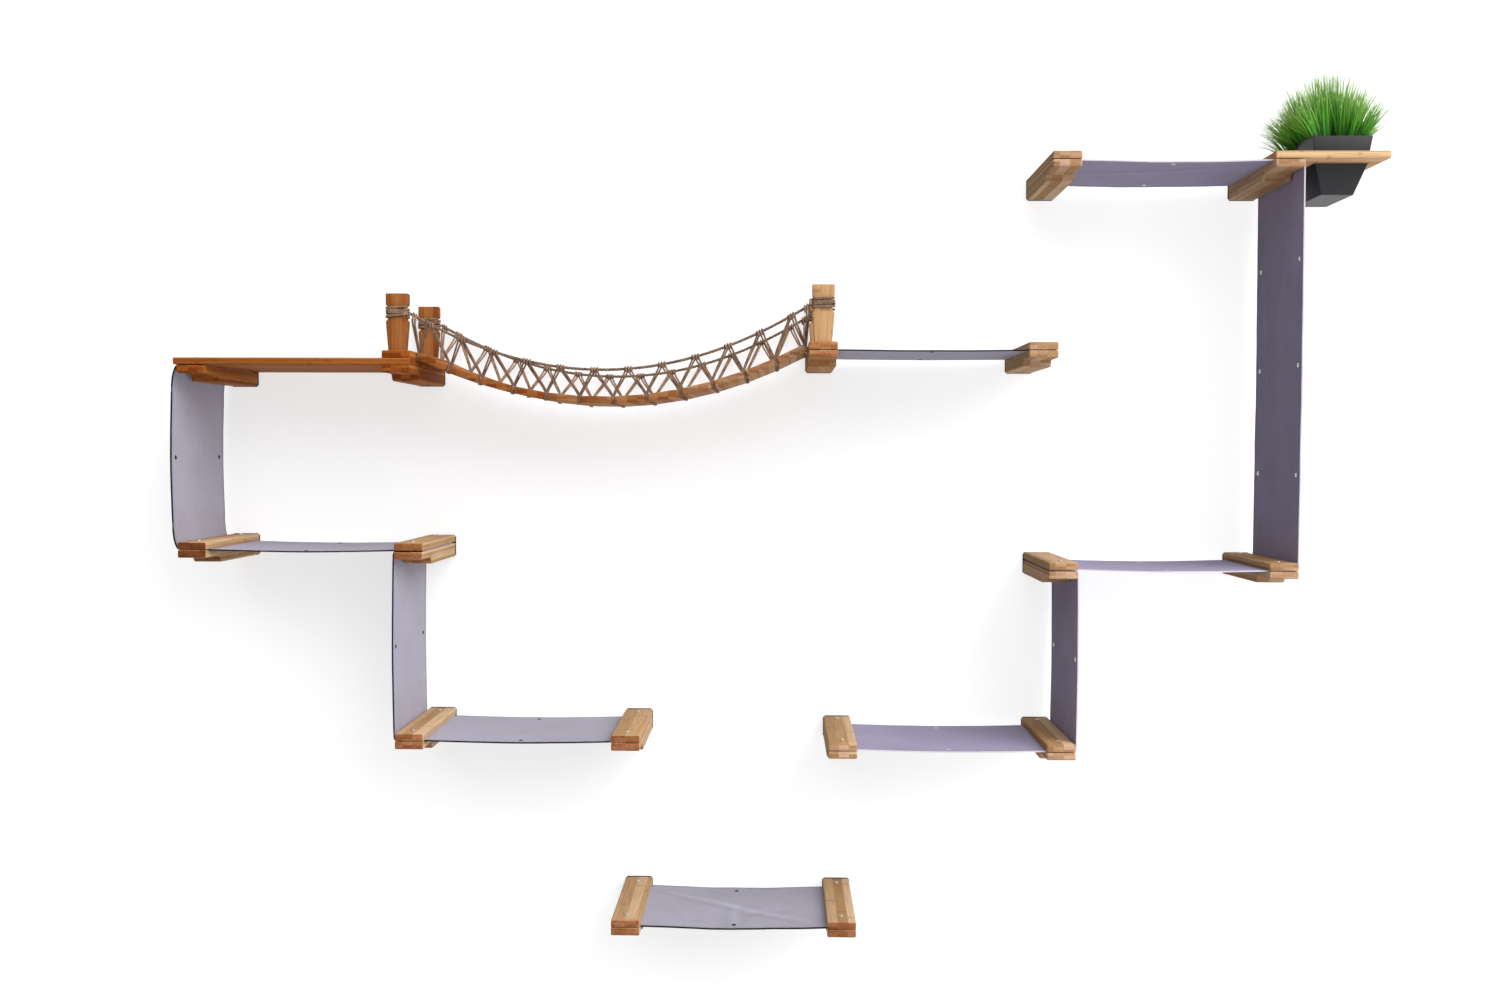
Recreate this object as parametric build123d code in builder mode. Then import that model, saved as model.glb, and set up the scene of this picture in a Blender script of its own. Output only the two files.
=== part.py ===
from build123d import *
import math
import os

os.makedirs("parts", exist_ok=True)

# A climbing run for cats, screwed to a wall. The wall is the plane y = 0 and the run stands out
# of it towards -y. The origin is the middle of the two wall screws of the lowest left bracket.

# The wall: studs stand at one pitch, and each bracket sits on one of them.
stud_pitch = 406.4
left_low_level = 349.0
right_low_level = 337.0
left_middle_level = 707.0
right_middle_level = 677.0
shelf_level = 1053.0
landing_level = 1084.0
top_level = 1434.0
bridge_left_shift = 21.0
bridge_right_shift = 40.0

# Bamboo bracket: a stepped block below, a clamp board above, canvas squeezed between them.
bracket_depth = 279.4
bracket_width = 54.0
nose_thickness = 14.0
block_thickness = 27.0
step_head_setback = 68.0
step_foot_setback = 76.0
board_thickness = 14.0
wood_corner = 3.0
wood_edge = 1.5

# Steel wall plate with its tongue, which the block slides over.
plate_thickness = 3.0
plate_width = 56.0
plate_margin = 1.0
plate_corner = 4.0
tongue_width = 14.0
tongue_thickness = 6.0
tongue_length = 60.0
tongue_clearance = 0.3
wall_hole_spacing = 29.0
wall_hole_radius = 2.75
head_recess_width = 42.0
head_recess_height = 12.0
head_recess_depth = 4.5

# Fasteners
hole_clearance = 0.2
hole_sides = 6
head_sides = 6
clamp_shank_radius = 2.4
clamp_head_radius = 4.3
clamp_head_height = 2.4
clamp_grip = 10.0
screw_setback = 33.0
retaining_setback = 29.0
retaining_mouth_radius = 4.0
retaining_mouth_depth = 7.0
retaining_head_radius = 3.4
retaining_head_height = 2.5
retaining_shank_radius = 2.0
retaining_reach = 9.0

# Canvas, its stand-off from the bracket sides and its eyelets
canvas_thickness = 1.6
canvas_width = 254.0
canvas_wall_gap = 14.0
canvas_end_margin = 3.0
left_stand_off = 13.0
inner_stand_off = 4.0
right_stand_off = 3.0
eyelet_radius = 4.8
eyelet_bore_radius = 2.6
eyelet_proud = 0.5
eyelet_clearance = 0.1
eyelet_inset = 21.0
eyelet_pitch = 203.2

# Shelves
shelf_thickness = 13.0
shelf_overhang = 6.0
planter_shelf_width = 210.0

# Planter: a tapered pot that drops into the planter shelf
pot_rim_width = 111.0
pot_rim_length = 185.0
pot_rim_rise = 36.0
pot_band_height = 52.0
pot_band_draw_in = 7.0
pot_base_draw_in = 18.0
pot_height = 105.0
pot_wall = 2.5
pot_front_setback = 43.0
pot_offset = 33.0
pot_clearance = 0.3
grass_drop = 8.0
grass_clearance = 0.5
grass_height = 118.0
grass_spread = 50.0
grass_rows = 8
grass_columns = 15
blade_radius = 1.5
blade_root = 2.0
blade_margin = 9.0

# Rope bridge: planks threaded on two deck ropes and laced to two hand ropes
plank_count = 12
plank_thickness = 13.5
plank_length = 205.0
plank_gap = 7.5
plank_edge = 2.0
plank_wall_gap = 38.0
deck_end_gap = 3.0
deck_sag = 92.0
deck_rope_radius = 2.5
deck_rope_inset = 14.0
deck_rope_clearance = 0.5
rope_socket_depth = 14.0
rope_socket_clearance = 0.3
rope_bend_share = 0.9
hand_rope_radius = 2.8
hand_rope_sag = 113.0
hand_rope_rise = 69.0
lacing_radius = 1.5
lacing_spread = 1.9
lacing_clearance = 0.3
lacing_apex_spread = 4.0
lacing_lift = 2.5
rope_sides = 4

# Bridge post with the notched neck that its rope winds round
post_base_width = 32.5
post_width = 41.5
post_thickness = 18.5
post_height = 106.0
post_neck_width = 33.0
post_shoulder_height = 54.0
post_neck_foot = 58.5
post_neck_head = 81.0
post_head_foot = 85.0
post_edge = 1.5
post_front_setback = 16.4
post_wall_gap = 6.0
post_screw_radius = 1.8
post_screw_head_radius = 3.6
post_screw_head_height = 2.4
post_screw_reach = 22.0
winding_radius = 2.45
winding_pitch = 5.8
winding_turns = 3
winding_corner = 5.0
winding_clearance = 0.3
winding_foot = 58.6

# Sizes that follow from the ones above
clamp_base = block_thickness / 2
slab_depth = bracket_depth - plate_thickness
slab_middle = -(bracket_depth + plate_thickness) / 2
half_width = bracket_width / 2
shank_hole_radius = clamp_shank_radius + hole_clearance
screw_rows = (-screw_setback, -(bracket_depth - screw_setback))
canvas_rear = -canvas_wall_gap
canvas_front = -(canvas_wall_gap + canvas_width)
eyelet_rows = (canvas_rear - eyelet_inset, canvas_front + eyelet_inset)
pot_shelf_width = pot_rim_width - 2 * pot_band_draw_in * pot_rim_rise / pot_band_height
pot_shelf_length = pot_rim_length - 2 * pot_band_draw_in * pot_rim_rise / pot_band_height
post_rows = (-(plate_thickness + post_wall_gap + post_thickness / 2), -(bracket_depth - post_front_setback))
deck_rows = (
    -(plank_wall_gap + deck_rope_inset),
    -(plank_wall_gap + plank_length - deck_rope_inset),
)
deck_middle = -(plank_wall_gap + plank_length / 2)


def spot(column, level, shift=0):
    """The middle of a clamp face on the wall, for a stud counted from the lowest left one."""
    return Vector(column * stud_pitch - shift, 0, clamp_base + level)


# Each bracket by its place: where its clamp face is, and how thick the stack on that face is.
places = {
    "left_top": spot(-2, shelf_level),
    "left_middle_outer": spot(-2, left_middle_level),
    "left_middle_inner": spot(-1, left_middle_level - canvas_thickness),
    "left_low_outer": spot(-1, left_low_level),
    "left_low_inner": spot(0, left_low_level),
    "bottom_left": spot(0, 0),
    "bottom_right": spot(1, 0),
    "right_low_inner": spot(1, right_low_level),
    "right_low_outer": spot(2, right_low_level),
    "right_middle_inner": spot(2, right_middle_level - canvas_thickness),
    "right_middle_outer": spot(3, right_middle_level),
    "right_top_inner": spot(2, top_level),
    "right_top_outer": spot(3, top_level),
    "landing": spot(2, landing_level, bridge_right_shift),
    "bridge_left": spot(-1, shelf_level + canvas_thickness, bridge_left_shift),
    "bridge_right": spot(1, landing_level, bridge_right_shift),
}
stacks = {name: canvas_thickness for name in places}
stacks["left_middle_inner"] = 2 * canvas_thickness
stacks["right_middle_inner"] = 2 * canvas_thickness
stacks["bridge_left"] = shelf_thickness
tops = {name: board_thickness for name in places}
tops["left_top"] = shelf_thickness
boarded = [name for name in places if name not in ("left_top", "right_top_outer")]


def save(builder, name):
    """Label a finished piece and write it to its own file."""
    builder.part.label = name
    export_step(builder.part, f"parts/{name}.step")


def slab(x_low, x_high, z_low, thickness):
    """A flat board from the wall plates to the bracket fronts."""
    with BuildSketch(Plane.XY.offset(z_low)) as outline:
        with Locations(((x_low + x_high) / 2, slab_middle)):
            Rectangle(x_high - x_low, slab_depth)
    extrude(outline.sketch, amount=thickness)


def ease(piece):
    """Cut back the front corners of a board, then ease its upper edges away from the wall."""
    chamfer(piece.edges().filter_by(Axis.Z).group_by(Axis.Y)[0], length=wood_corner)
    upper = piece.faces().sort_by(Axis.Z)[-1].edges()
    chamfer([edge for edge in upper if edge.center().Y < -plate_thickness - wood_edge], length=wood_edge)


def cut_screw_holes(x, z_low, depth):
    """The two clamp screw holes of a bracket, through one layer of it."""
    with BuildSketch(Plane.XY.offset(z_low)) as holes:
        with Locations(*[(x, row) for row in screw_rows]):
            RegularPolygon(shank_hole_radius, hole_sides)
    extrude(holes.sketch, amount=depth, mode=Mode.SUBTRACT)


def facing_wall(place, drop=0):
    """A plane whose normal leaves the wall, at the tongue of a bracket."""
    return Plane(place - Vector(0, drop, clamp_base), x_dir=(1, 0, 0), z_dir=(0, -1, 0))


def make_block(name, place):
    """The stepped lower half of a bracket, with the slot and screw hole for the wall plate."""
    step_head = bracket_depth - step_head_setback
    step_foot = bracket_depth - step_foot_setback
    with BuildPart() as block:
        with BuildSketch(Plane(place, x_dir=(0, 1, 0), z_dir=(1, 0, 0))):
            with BuildLine():
                Polyline(
                    (-plate_thickness, 0),
                    (-bracket_depth, 0),
                    (-bracket_depth, -nose_thickness),
                    (-step_head, -nose_thickness),
                    (-step_foot, -block_thickness),
                    (-plate_thickness, -block_thickness),
                    close=True,
                )
            make_face()
        extrude(amount=half_width, both=True)
        chamfer(block.edges().filter_by(Axis.Z).group_by(Axis.Y)[0], length=wood_corner)
        cut_screw_holes(place.X, place.Z - clamp_grip - hole_clearance, clamp_grip + hole_clearance)
        with BuildSketch(facing_wall(place, plate_thickness)):
            Rectangle(head_recess_width, head_recess_height)
        extrude(amount=head_recess_depth, mode=Mode.SUBTRACT)
        with BuildSketch(facing_wall(place, plate_thickness)):
            Rectangle(tongue_width + 2 * tongue_clearance, tongue_thickness + 2 * tongue_clearance)
        extrude(amount=tongue_length + tongue_clearance, mode=Mode.SUBTRACT)
        underside = Plane(place - Vector(0, retaining_setback, block_thickness))
        with BuildSketch(underside):
            RegularPolygon(retaining_mouth_radius, head_sides)
        extrude(amount=retaining_mouth_depth, mode=Mode.SUBTRACT)
        with BuildSketch(underside):
            RegularPolygon(retaining_shank_radius + hole_clearance, hole_sides)
        extrude(amount=block_thickness / 2, mode=Mode.SUBTRACT)
    save(block, f"block_{name}")


for name, place in places.items():
    make_block(name, place)


def make_board(name, place):
    """The upper half of a bracket. A bridge end also takes the post screws and the deck ropes."""
    foot = place.Z + stacks[name]
    with BuildPart() as board:
        slab(place.X - half_width, place.X + half_width, foot, board_thickness)
        ease(board)
        cut_screw_holes(place.X, foot, board_thickness)
        if name in ("bridge_left", "bridge_right"):
            with BuildSketch(Plane.XY.offset(foot)):
                with Locations(*[(place.X, row) for row in post_rows]):
                    RegularPolygon(post_screw_head_radius + hole_clearance, head_sides)
            extrude(amount=post_screw_head_height, mode=Mode.SUBTRACT)
            with BuildSketch(Plane.XY.offset(foot)):
                with Locations(*[(place.X, row) for row in post_rows]):
                    RegularPolygon(post_screw_radius + hole_clearance, hole_sides)
            extrude(amount=board_thickness, mode=Mode.SUBTRACT)
            inward = 1 if name == "bridge_left" else -1
            mouth = Plane(
                (place.X + inward * half_width, 0, foot + board_thickness / 2),
                x_dir=(0, 1, 0),
                z_dir=(-inward, 0, 0),
            )
            with BuildSketch(mouth):
                with Locations(*[(row, 0) for row in deck_rows]):
                    RegularPolygon(deck_rope_radius + deck_rope_clearance, rope_sides)
            extrude(amount=rope_socket_depth, mode=Mode.SUBTRACT)
    save(board, f"clamp_board_{name}")


for name in boarded:
    make_board(name, places[name])

shelf_foot = places["left_top"].Z + canvas_thickness
with BuildPart() as shelf:
    slab(
        places["left_top"].X - half_width - shelf_overhang,
        places["bridge_left"].X + half_width,
        shelf_foot,
        shelf_thickness,
    )
    ease(shelf)
    for end in ("left_top", "bridge_left"):
        cut_screw_holes(places[end].X, shelf_foot, shelf_thickness)
save(shelf, "shelf")

# The planter shelf starts flush with its bracket and carries the pot in a hole.
planter_shelf_foot = places["right_top_outer"].Z + canvas_thickness
planter_shelf_left = places["right_top_outer"].X - half_width
planter_shelf_top = planter_shelf_foot + board_thickness
pot_centre = Vector(
    planter_shelf_left + planter_shelf_width / 2 + pot_offset,
    -(bracket_depth - pot_front_setback - pot_rim_length / 2),
    planter_shelf_top + pot_rim_rise,
)
pot_hole_draft = math.degrees(math.atan(pot_band_draw_in / pot_band_height))
with BuildPart() as planter_shelf:
    slab(planter_shelf_left, planter_shelf_left + planter_shelf_width, planter_shelf_foot, board_thickness)
    ease(planter_shelf)
    cut_screw_holes(places["right_top_outer"].X, planter_shelf_foot, board_thickness)
    with BuildSketch(Plane((pot_centre.X, pot_centre.Y, planter_shelf_top))):
        Rectangle(pot_shelf_width + 2 * pot_clearance, pot_shelf_length + 2 * pot_clearance)
    extrude(amount=-board_thickness, taper=pot_hole_draft, mode=Mode.SUBTRACT)
save(planter_shelf, "planter_shelf")

# One wall plate, repeated behind each bracket. It covers the block and the board above it.
plate_height = block_thickness + canvas_thickness + board_thickness + 2 * plate_margin
plate_rise = plate_height / 2 - plate_margin - clamp_base
with BuildPart() as wall_plate:
    with BuildSketch(facing_wall(Vector(0, 0, clamp_base))) as outline:
        with Locations((0, plate_rise)):
            Rectangle(plate_width, plate_height)
        chamfer(outline.vertices(), length=plate_corner)
        with GridLocations(wall_hole_spacing, 0, 2, 1):
            Circle(wall_hole_radius, mode=Mode.SUBTRACT)
    extrude(amount=plate_thickness)
    with BuildSketch(facing_wall(Vector(0, 0, clamp_base), plate_thickness)):
        Rectangle(tongue_width, tongue_thickness)
    extrude(amount=tongue_length)
    with BuildSketch(Plane((0, -retaining_setback, -tongue_thickness / 2))):
        RegularPolygon(retaining_shank_radius + hole_clearance, hole_sides)
    extrude(amount=tongue_thickness, mode=Mode.SUBTRACT)
with BuildPart() as wall_plates:
    with Locations(*[place - Vector(0, 0, clamp_base) for place in places.values()]):
        add(wall_plate.part)
save(wall_plates, "wall_plates")

# Retaining screws go up through the block into the tongue.
with BuildPart() as retaining_screw:
    with BuildSketch(Plane((0, 0, retaining_mouth_depth - retaining_head_height))):
        RegularPolygon(retaining_head_radius, head_sides)
    extrude(amount=retaining_head_height)
    with BuildSketch(Plane((0, 0, retaining_mouth_depth))):
        RegularPolygon(retaining_shank_radius, hole_sides)
    extrude(amount=retaining_reach)
with BuildPart() as retaining_screws:
    with Locations(*[place - Vector(0, retaining_setback, block_thickness) for place in places.values()]):
        add(retaining_screw.part)
save(retaining_screws, "retaining_screws")

# Clamp screws squeeze whatever lies on the block. The grip is measured into the block.
with BuildPart() as clamp_screws:
    for name, place in places.items():
        top = place.Z + stacks[name] + tops[name]
        with BuildSketch(Plane.XY.offset(top)):
            with Locations(*[(place.X, row) for row in screw_rows]):
                RegularPolygon(clamp_head_radius, head_sides)
        extrude(amount=clamp_head_height)
        with BuildSketch(Plane.XY.offset(place.Z - clamp_grip)):
            with Locations(*[(place.X, row) for row in screw_rows]):
                RegularPolygon(clamp_shank_radius, hole_sides)
        extrude(amount=top - place.Z + clamp_grip)
save(clamp_screws, "clamp_screws")


def clamp_end(name, side, layer=0):
    """The end of a strip, just short of one side of a bracket, on a layer of its clamp face."""
    place = places[name]
    reach = half_width - canvas_end_margin
    return place.X + side * reach, place.Z + canvas_thickness * (layer + 1 / 2)


def turn(name, side, stand_off):
    """The corner where a strip leaves a clamp and turns up or down beside the bracket."""
    place = places[name]
    return place.X + side * (half_width + stand_off), place.Z + canvas_thickness / 2


def make_canvas(name, route, bend, clamps, upright_eyelets):
    """A strip along a route in the wall's plane, with its screw holes and its eyelet holes."""
    with BuildPart() as canvas:
        with BuildSketch(Plane.XZ.offset(canvas_wall_gap)):
            with BuildLine():
                middle = Polyline(*route) if bend == 0 else FilletPolyline(*route, radius=bend)
                offset(middle, amount=canvas_thickness / 2, side=Side.BOTH, closed=True, mode=Mode.REPLACE)
            make_face()
        extrude(amount=canvas_width)
        for clamp in clamps:
            cut_screw_holes(places[clamp].X, places[clamp].Z - canvas_thickness, 4 * canvas_thickness)
        for spot_here, upright in eyelet_spots(route, upright_eyelets):
            with BuildSketch(eyelet_plane(spot_here, upright)):
                RegularPolygon(eyelet_radius + eyelet_clearance, hole_sides)
            extrude(amount=canvas_thickness, both=True, mode=Mode.SUBTRACT)
    save(canvas, f"canvas_{name}")


def eyelet_spots(route, upright_eyelets):
    """Pairs of eyelets at mid-span of each run between brackets, more of them on a long upright."""
    spots = []
    for start, end in zip(route[:-1], route[1:]):
        upright = abs(end[1] - start[1]) > abs(end[0] - start[0])
        if not upright and abs(end[0] - start[0]) < stud_pitch / 2:
            continue
        count = upright_eyelets if upright else 1
        x_middle = (start[0] + end[0]) / 2
        if not upright:
            x_middle = span_middle(start[0], end[0])
        z_middle = (start[1] + end[1]) / 2
        for step in range(count):
            rise = (step - (count - 1) / 2) * eyelet_pitch
            for row in eyelet_rows:
                spots.append((Vector(x_middle, row, z_middle + rise), upright))
    return spots


def span_middle(start, end):
    """Half way between the two brackets that a level run joins."""
    left, right = sorted((start, end))
    near = [place.X for place in places.values() if left - bracket_width < place.X < right + bracket_width]
    inner = sorted({round(x, 3) for x in near})
    return (inner[0] + inner[-1]) / 2


def eyelet_plane(centre, upright):
    """The plane of a strip at an eyelet."""
    normal = (1, 0, 0) if upright else (0, 0, 1)
    return Plane(centre, x_dir=(0, 1, 0), z_dir=normal)


strips = {
    "left_upper": (
        [
            clamp_end("left_top", 1),
            turn("left_top", -1, left_stand_off),
            turn("left_middle_outer", -1, left_stand_off),
            clamp_end("left_middle_inner", 1, 1),
        ],
        left_stand_off,
        ["left_top", "left_middle_outer", "left_middle_inner"],
        1,
    ),
    "left_lower": (
        [
            clamp_end("left_middle_inner", 1),
            turn("left_middle_inner", -1, inner_stand_off),
            turn("left_low_outer", -1, inner_stand_off),
            clamp_end("left_low_inner", 1),
        ],
        inner_stand_off,
        ["left_middle_inner", "left_low_outer", "left_low_inner"],
        1,
    ),
    "right_upper": (
        [
            clamp_end("right_top_inner", -1),
            turn("right_top_outer", 1, right_stand_off),
            turn("right_middle_outer", 1, right_stand_off),
            clamp_end("right_middle_inner", -1, 1),
        ],
        right_stand_off,
        ["right_top_inner", "right_top_outer", "right_middle_outer", "right_middle_inner"],
        3,
    ),
    "right_lower": (
        [
            clamp_end("right_middle_inner", -1),
            turn("right_middle_inner", 1, right_stand_off),
            turn("right_low_outer", 1, right_stand_off),
            clamp_end("right_low_inner", -1),
        ],
        right_stand_off,
        ["right_middle_inner", "right_low_outer", "right_low_inner"],
        1,
    ),
    "landing": (
        [clamp_end("bridge_right", -1), clamp_end("landing", 1)],
        0,
        ["bridge_right", "landing"],
        1,
    ),
    "bottom": (
        [clamp_end("bottom_left", -1), clamp_end("bottom_right", 1)],
        0,
        ["bottom_left", "bottom_right"],
        1,
    ),
}
for name, (route, bend, clamps, upright_eyelets) in strips.items():
    make_canvas(name, route, bend, clamps, upright_eyelets)

# Eyelets stand a little proud of the canvas on both faces.
with BuildPart() as eyelets:
    for route, bend, clamps, upright_eyelets in strips.values():
        for centre, upright in eyelet_spots(route, upright_eyelets):
            with BuildSketch(eyelet_plane(centre, upright)):
                RegularPolygon(eyelet_radius, hole_sides)
                RegularPolygon(eyelet_bore_radius, hole_sides, mode=Mode.SUBTRACT)
            extrude(amount=canvas_thickness / 2 + eyelet_proud, both=True)
save(eyelets, "eyelets")


def hanging(x, left, right, sag):
    """Height of a rope that hangs between two points."""
    share = (x - left.X) / (right.X - left.X)
    return left.Z + (right.Z - left.Z) * share - 4 * sag * share * (1 - share)


def even_points(left, right, sag, count):
    """Points along a hanging line, at even distances along it."""
    steps = 50 * count
    fine = [left.X + (right.X - left.X) * step / steps for step in range(steps + 1)]
    line = [Vector(x, 0, hanging(x, left, right, sag)) for x in fine]
    run = [0]
    for before, after in zip(line[:-1], line[1:]):
        run.append(run[-1] + (after - before).length)
    marks = [run[-1] * index / count for index in range(count + 1)]
    return [min(zip(run, line), key=lambda pair: abs(pair[0] - mark))[1] for mark in marks]


# The line of the deck: through the middle of the planks, and at its ends of the clamp boards.
board_middle = {
    name: places[name].Z + stacks[name] + board_thickness / 2 for name in ("bridge_left", "bridge_right")
}
deck_left = Vector(places["bridge_left"].X + half_width + deck_end_gap, 0, board_middle["bridge_left"])
deck_right = Vector(places["bridge_right"].X - half_width - deck_end_gap, 0, board_middle["bridge_right"])
deck_line = even_points(deck_left, deck_right, deck_sag, plank_count)
plank_groups = {"outer": (1, 12), "second": (2, 11), "third": (3, 10), "fourth": (4, 9), "middle": (5, 6, 7, 8)}


def plank_plane(index):
    """The middle plane of a plank, x along the deck."""
    start, end = deck_line[index - 1], deck_line[index]
    along = (end - start).normalized()
    return Plane((start + end) * (1 / 2), x_dir=along, z_dir=along.rotate(Axis.Y, -90))


def plank_width(index):
    """What the gaps leave of one pitch of the deck."""
    return (deck_line[index] - deck_line[index - 1]).length - plank_gap


for group, members in plank_groups.items():
    with BuildPart() as planks:
        for index in members:
            middle = plank_plane(index)
            with BuildSketch(middle):
                with Locations((0, deck_middle)):
                    Rectangle(plank_width(index), plank_length)
            extrude(amount=plank_thickness / 2, both=True)
        chamfer(planks.edges().filter_by(Axis.Y), length=plank_edge)
        for index in members:
            middle = plank_plane(index)
            across = Plane(middle.origin, x_dir=(0, 1, 0), z_dir=middle.x_dir)
            with BuildSketch(across):
                with Locations(*[(row, 0) for row in deck_rows]):
                    RegularPolygon(deck_rope_radius + deck_rope_clearance, rope_sides)
            extrude(amount=plank_width(index), both=True, mode=Mode.SUBTRACT)
    save(planks, f"planks_{group}")


def rounded_route(points, radii):
    """Straight runs joined by tangent arcs, one radius for each inner point."""
    start = points[0]
    for before, corner, after, radius in zip(points[:-2], points[1:-1], points[2:], radii):
        arrive = (corner - before).normalized()
        leave = (after - corner).normalized()
        half_turn = math.radians(arrive.get_angle(leave)) / 2
        reach = radius * math.tan(half_turn)
        first = corner - arrive * reach
        last = corner + leave * reach
        inward = (leave - arrive).normalized()
        crown = corner + inward * (radius / math.cos(half_turn) - radius)
        Line(start, first)
        ThreePointArc(first, crown, last)
        start = last
    Line(start, points[-1])


def corner_radii(points, share, longest_reach=None):
    """The radius at each inner point, from the shorter of its two runs or a stated reach."""
    radii = []
    for before, corner, after in zip(points[:-2], points[1:-1], points[2:]):
        turn_angle = math.radians((corner - before).get_angle(after - corner))
        reach = share * min((corner - before).length, (after - corner).length)
        if longest_reach is not None:
            reach = min(reach, longest_reach)
        radii.append(reach / math.tan(turn_angle / 2))
    return radii


def rope(points, radii, radius):
    """A rope of a few flat sides along a rounded route."""
    with BuildLine() as path:
        rounded_route(points, radii)
    aim = points[1] - points[0]
    with BuildSketch(Plane(points[0], x_dir=(0, 1, 0), z_dir=aim)) as section:
        RegularPolygon(radius, rope_sides)
    sweep(section.sketch, path=path.wires()[0])


# Deck ropes run from board to board, straight through each plank, and bend only in the gaps.
socket_left = deck_left - Vector(deck_end_gap + rope_socket_depth - rope_socket_clearance, 0, 0)
socket_right = deck_right + Vector(deck_end_gap + rope_socket_depth - rope_socket_clearance, 0, 0)
with BuildPart() as deck_ropes:
    for row in deck_rows:
        route = [point + Vector(0, row, 0) for point in [socket_left, *deck_line, socket_right]]
        radii = corner_radii(route, rope_bend_share, rope_bend_share * deck_end_gap)
        rope(route, radii, deck_rope_radius)
save(deck_ropes, "deck_ropes")
print("deck rope bend radii", [round(radius, 1) for radius in radii])

# Hand ropes hang between the posts, with a point over the middle of each plank.
board_top = {name: board_middle[name] + board_thickness / 2 for name in board_middle}
wound_half_width = post_neck_width / 2 + winding_clearance + 2 * winding_radius
post_span = places["bridge_right"].X - places["bridge_left"].X
hand_rope_droop = math.atan(4 * hand_rope_sag / post_span)
hand_rope_start = wound_half_width + winding_clearance + hand_rope_radius * math.sin(hand_rope_droop)
hand_left = Vector(
    places["bridge_left"].X + hand_rope_start,
    0,
    board_top["bridge_left"] + hand_rope_rise,
)
hand_right = Vector(
    places["bridge_right"].X - hand_rope_start,
    0,
    board_top["bridge_right"] + hand_rope_rise,
)
apexes = []
for index in range(1, plank_count + 1):
    x = plank_plane(index).origin.X
    apexes.append(Vector(x, 0, hanging(x, hand_left, hand_right, hand_rope_sag)))
with BuildPart() as hand_ropes:
    for row in post_rows:
        route = [point + Vector(0, row, 0) for point in [hand_left, *apexes, hand_right]]
        radii = corner_radii(route, rope_bend_share / 2)
        rope(route, radii, hand_rope_radius)
save(hand_ropes, "hand_ropes")
print("hand rope bend radii", [round(radius, 1) for radius in radii])


def under_hand_rope(x):
    """A point that a strand may reach without touching the hand rope above it."""
    span = hand_right.X - hand_left.X
    share = (x - hand_left.X) / span
    slope = (hand_right.Z - hand_left.Z - 4 * hand_rope_sag * (1 - 2 * share)) / span
    upward = Vector(-slope, 0, 1).normalized()
    on_line = Vector(x, 0, hanging(x, hand_left, hand_right, hand_rope_sag))
    return on_line - upward * (hand_rope_radius + lacing_radius / 2 + lacing_clearance)


def lacing_leg(apex, gap_index, side, hand_row, deck_row):
    """One strand from the hand rope down into a gap of the deck, beside the deck rope's top."""
    knot = deck_line[gap_index]
    before = deck_line[max(gap_index - 1, 0)]
    after = deck_line[min(gap_index + 1, plank_count)]
    along = (after - before).normalized()
    up = along.rotate(Axis.Y, -90)
    beside = knot + along * (side * lacing_spread) + Vector(0, deck_row, 0)
    foot = beside + up * (deck_rope_radius + lacing_clearance)
    knee = beside + up * (plank_thickness / 2 + lacing_lift)
    head = under_hand_rope(apex.X - side * lacing_apex_spread) + Vector(0, hand_row, 0)
    with BuildLine() as path:
        Polyline(foot, knee, head)
    with BuildSketch(Plane(foot, x_dir=(0, 1, 0), z_dir=up)) as section:
        RegularPolygon(lacing_radius, rope_sides)
    sweep(section.sketch, path=path.wires()[0], transition=Transition.RIGHT)


for group, members in plank_groups.items():
    with BuildPart() as lacing:
        for index in members:
            for hand_row, deck_row in zip(post_rows, deck_rows):
                lacing_leg(apexes[index - 1], index - 1, 1, hand_row, deck_row)
                lacing_leg(apexes[index - 1], index, -1, hand_row, deck_row)
    save(lacing, f"lacing_{group}")


# Posts: a flat baluster, wider towards a shoulder, with a neck under a square head.
with BuildPart() as post:
    with BuildSketch(Plane.XZ.offset(-post_thickness / 2)):
        with BuildLine():
            Polyline(
                (0, 0),
                (post_base_width / 2, 0),
                (post_width / 2, post_shoulder_height),
                (post_neck_width / 2, post_neck_foot),
                (post_neck_width / 2, post_neck_head),
                (post_width / 2, post_head_foot),
                (post_width / 2, post_height),
                (0, post_height),
            )
            mirror(about=Plane.YZ)
        make_face()
    extrude(amount=post_thickness)
    chamfer([edge for edge in post.edges() if edge.bounding_box().size.Y < post_edge], length=post_edge)
    with BuildSketch(Plane.XY):
        RegularPolygon(post_screw_radius + hole_clearance, hole_sides)
    extrude(amount=post_screw_reach, mode=Mode.SUBTRACT)
with BuildPart() as posts:
    for name, top in board_top.items():
        with Locations(*[(places[name].X, row, top) for row in post_rows]):
            add(post.part)
save(posts, "bridge_posts")

with BuildPart() as post_screw:
    with BuildSketch(Plane.XY):
        RegularPolygon(post_screw_head_radius, head_sides)
    extrude(amount=post_screw_head_height)
    with BuildSketch(Plane.XY):
        RegularPolygon(post_screw_radius, hole_sides)
    extrude(amount=board_thickness + post_screw_reach)
with BuildPart() as post_screws:
    for name, top in board_top.items():
        with Locations(*[(places[name].X, row, top - board_thickness) for row in post_rows]):
            add(post_screw.part)
save(post_screws, "post_screws")


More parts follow.
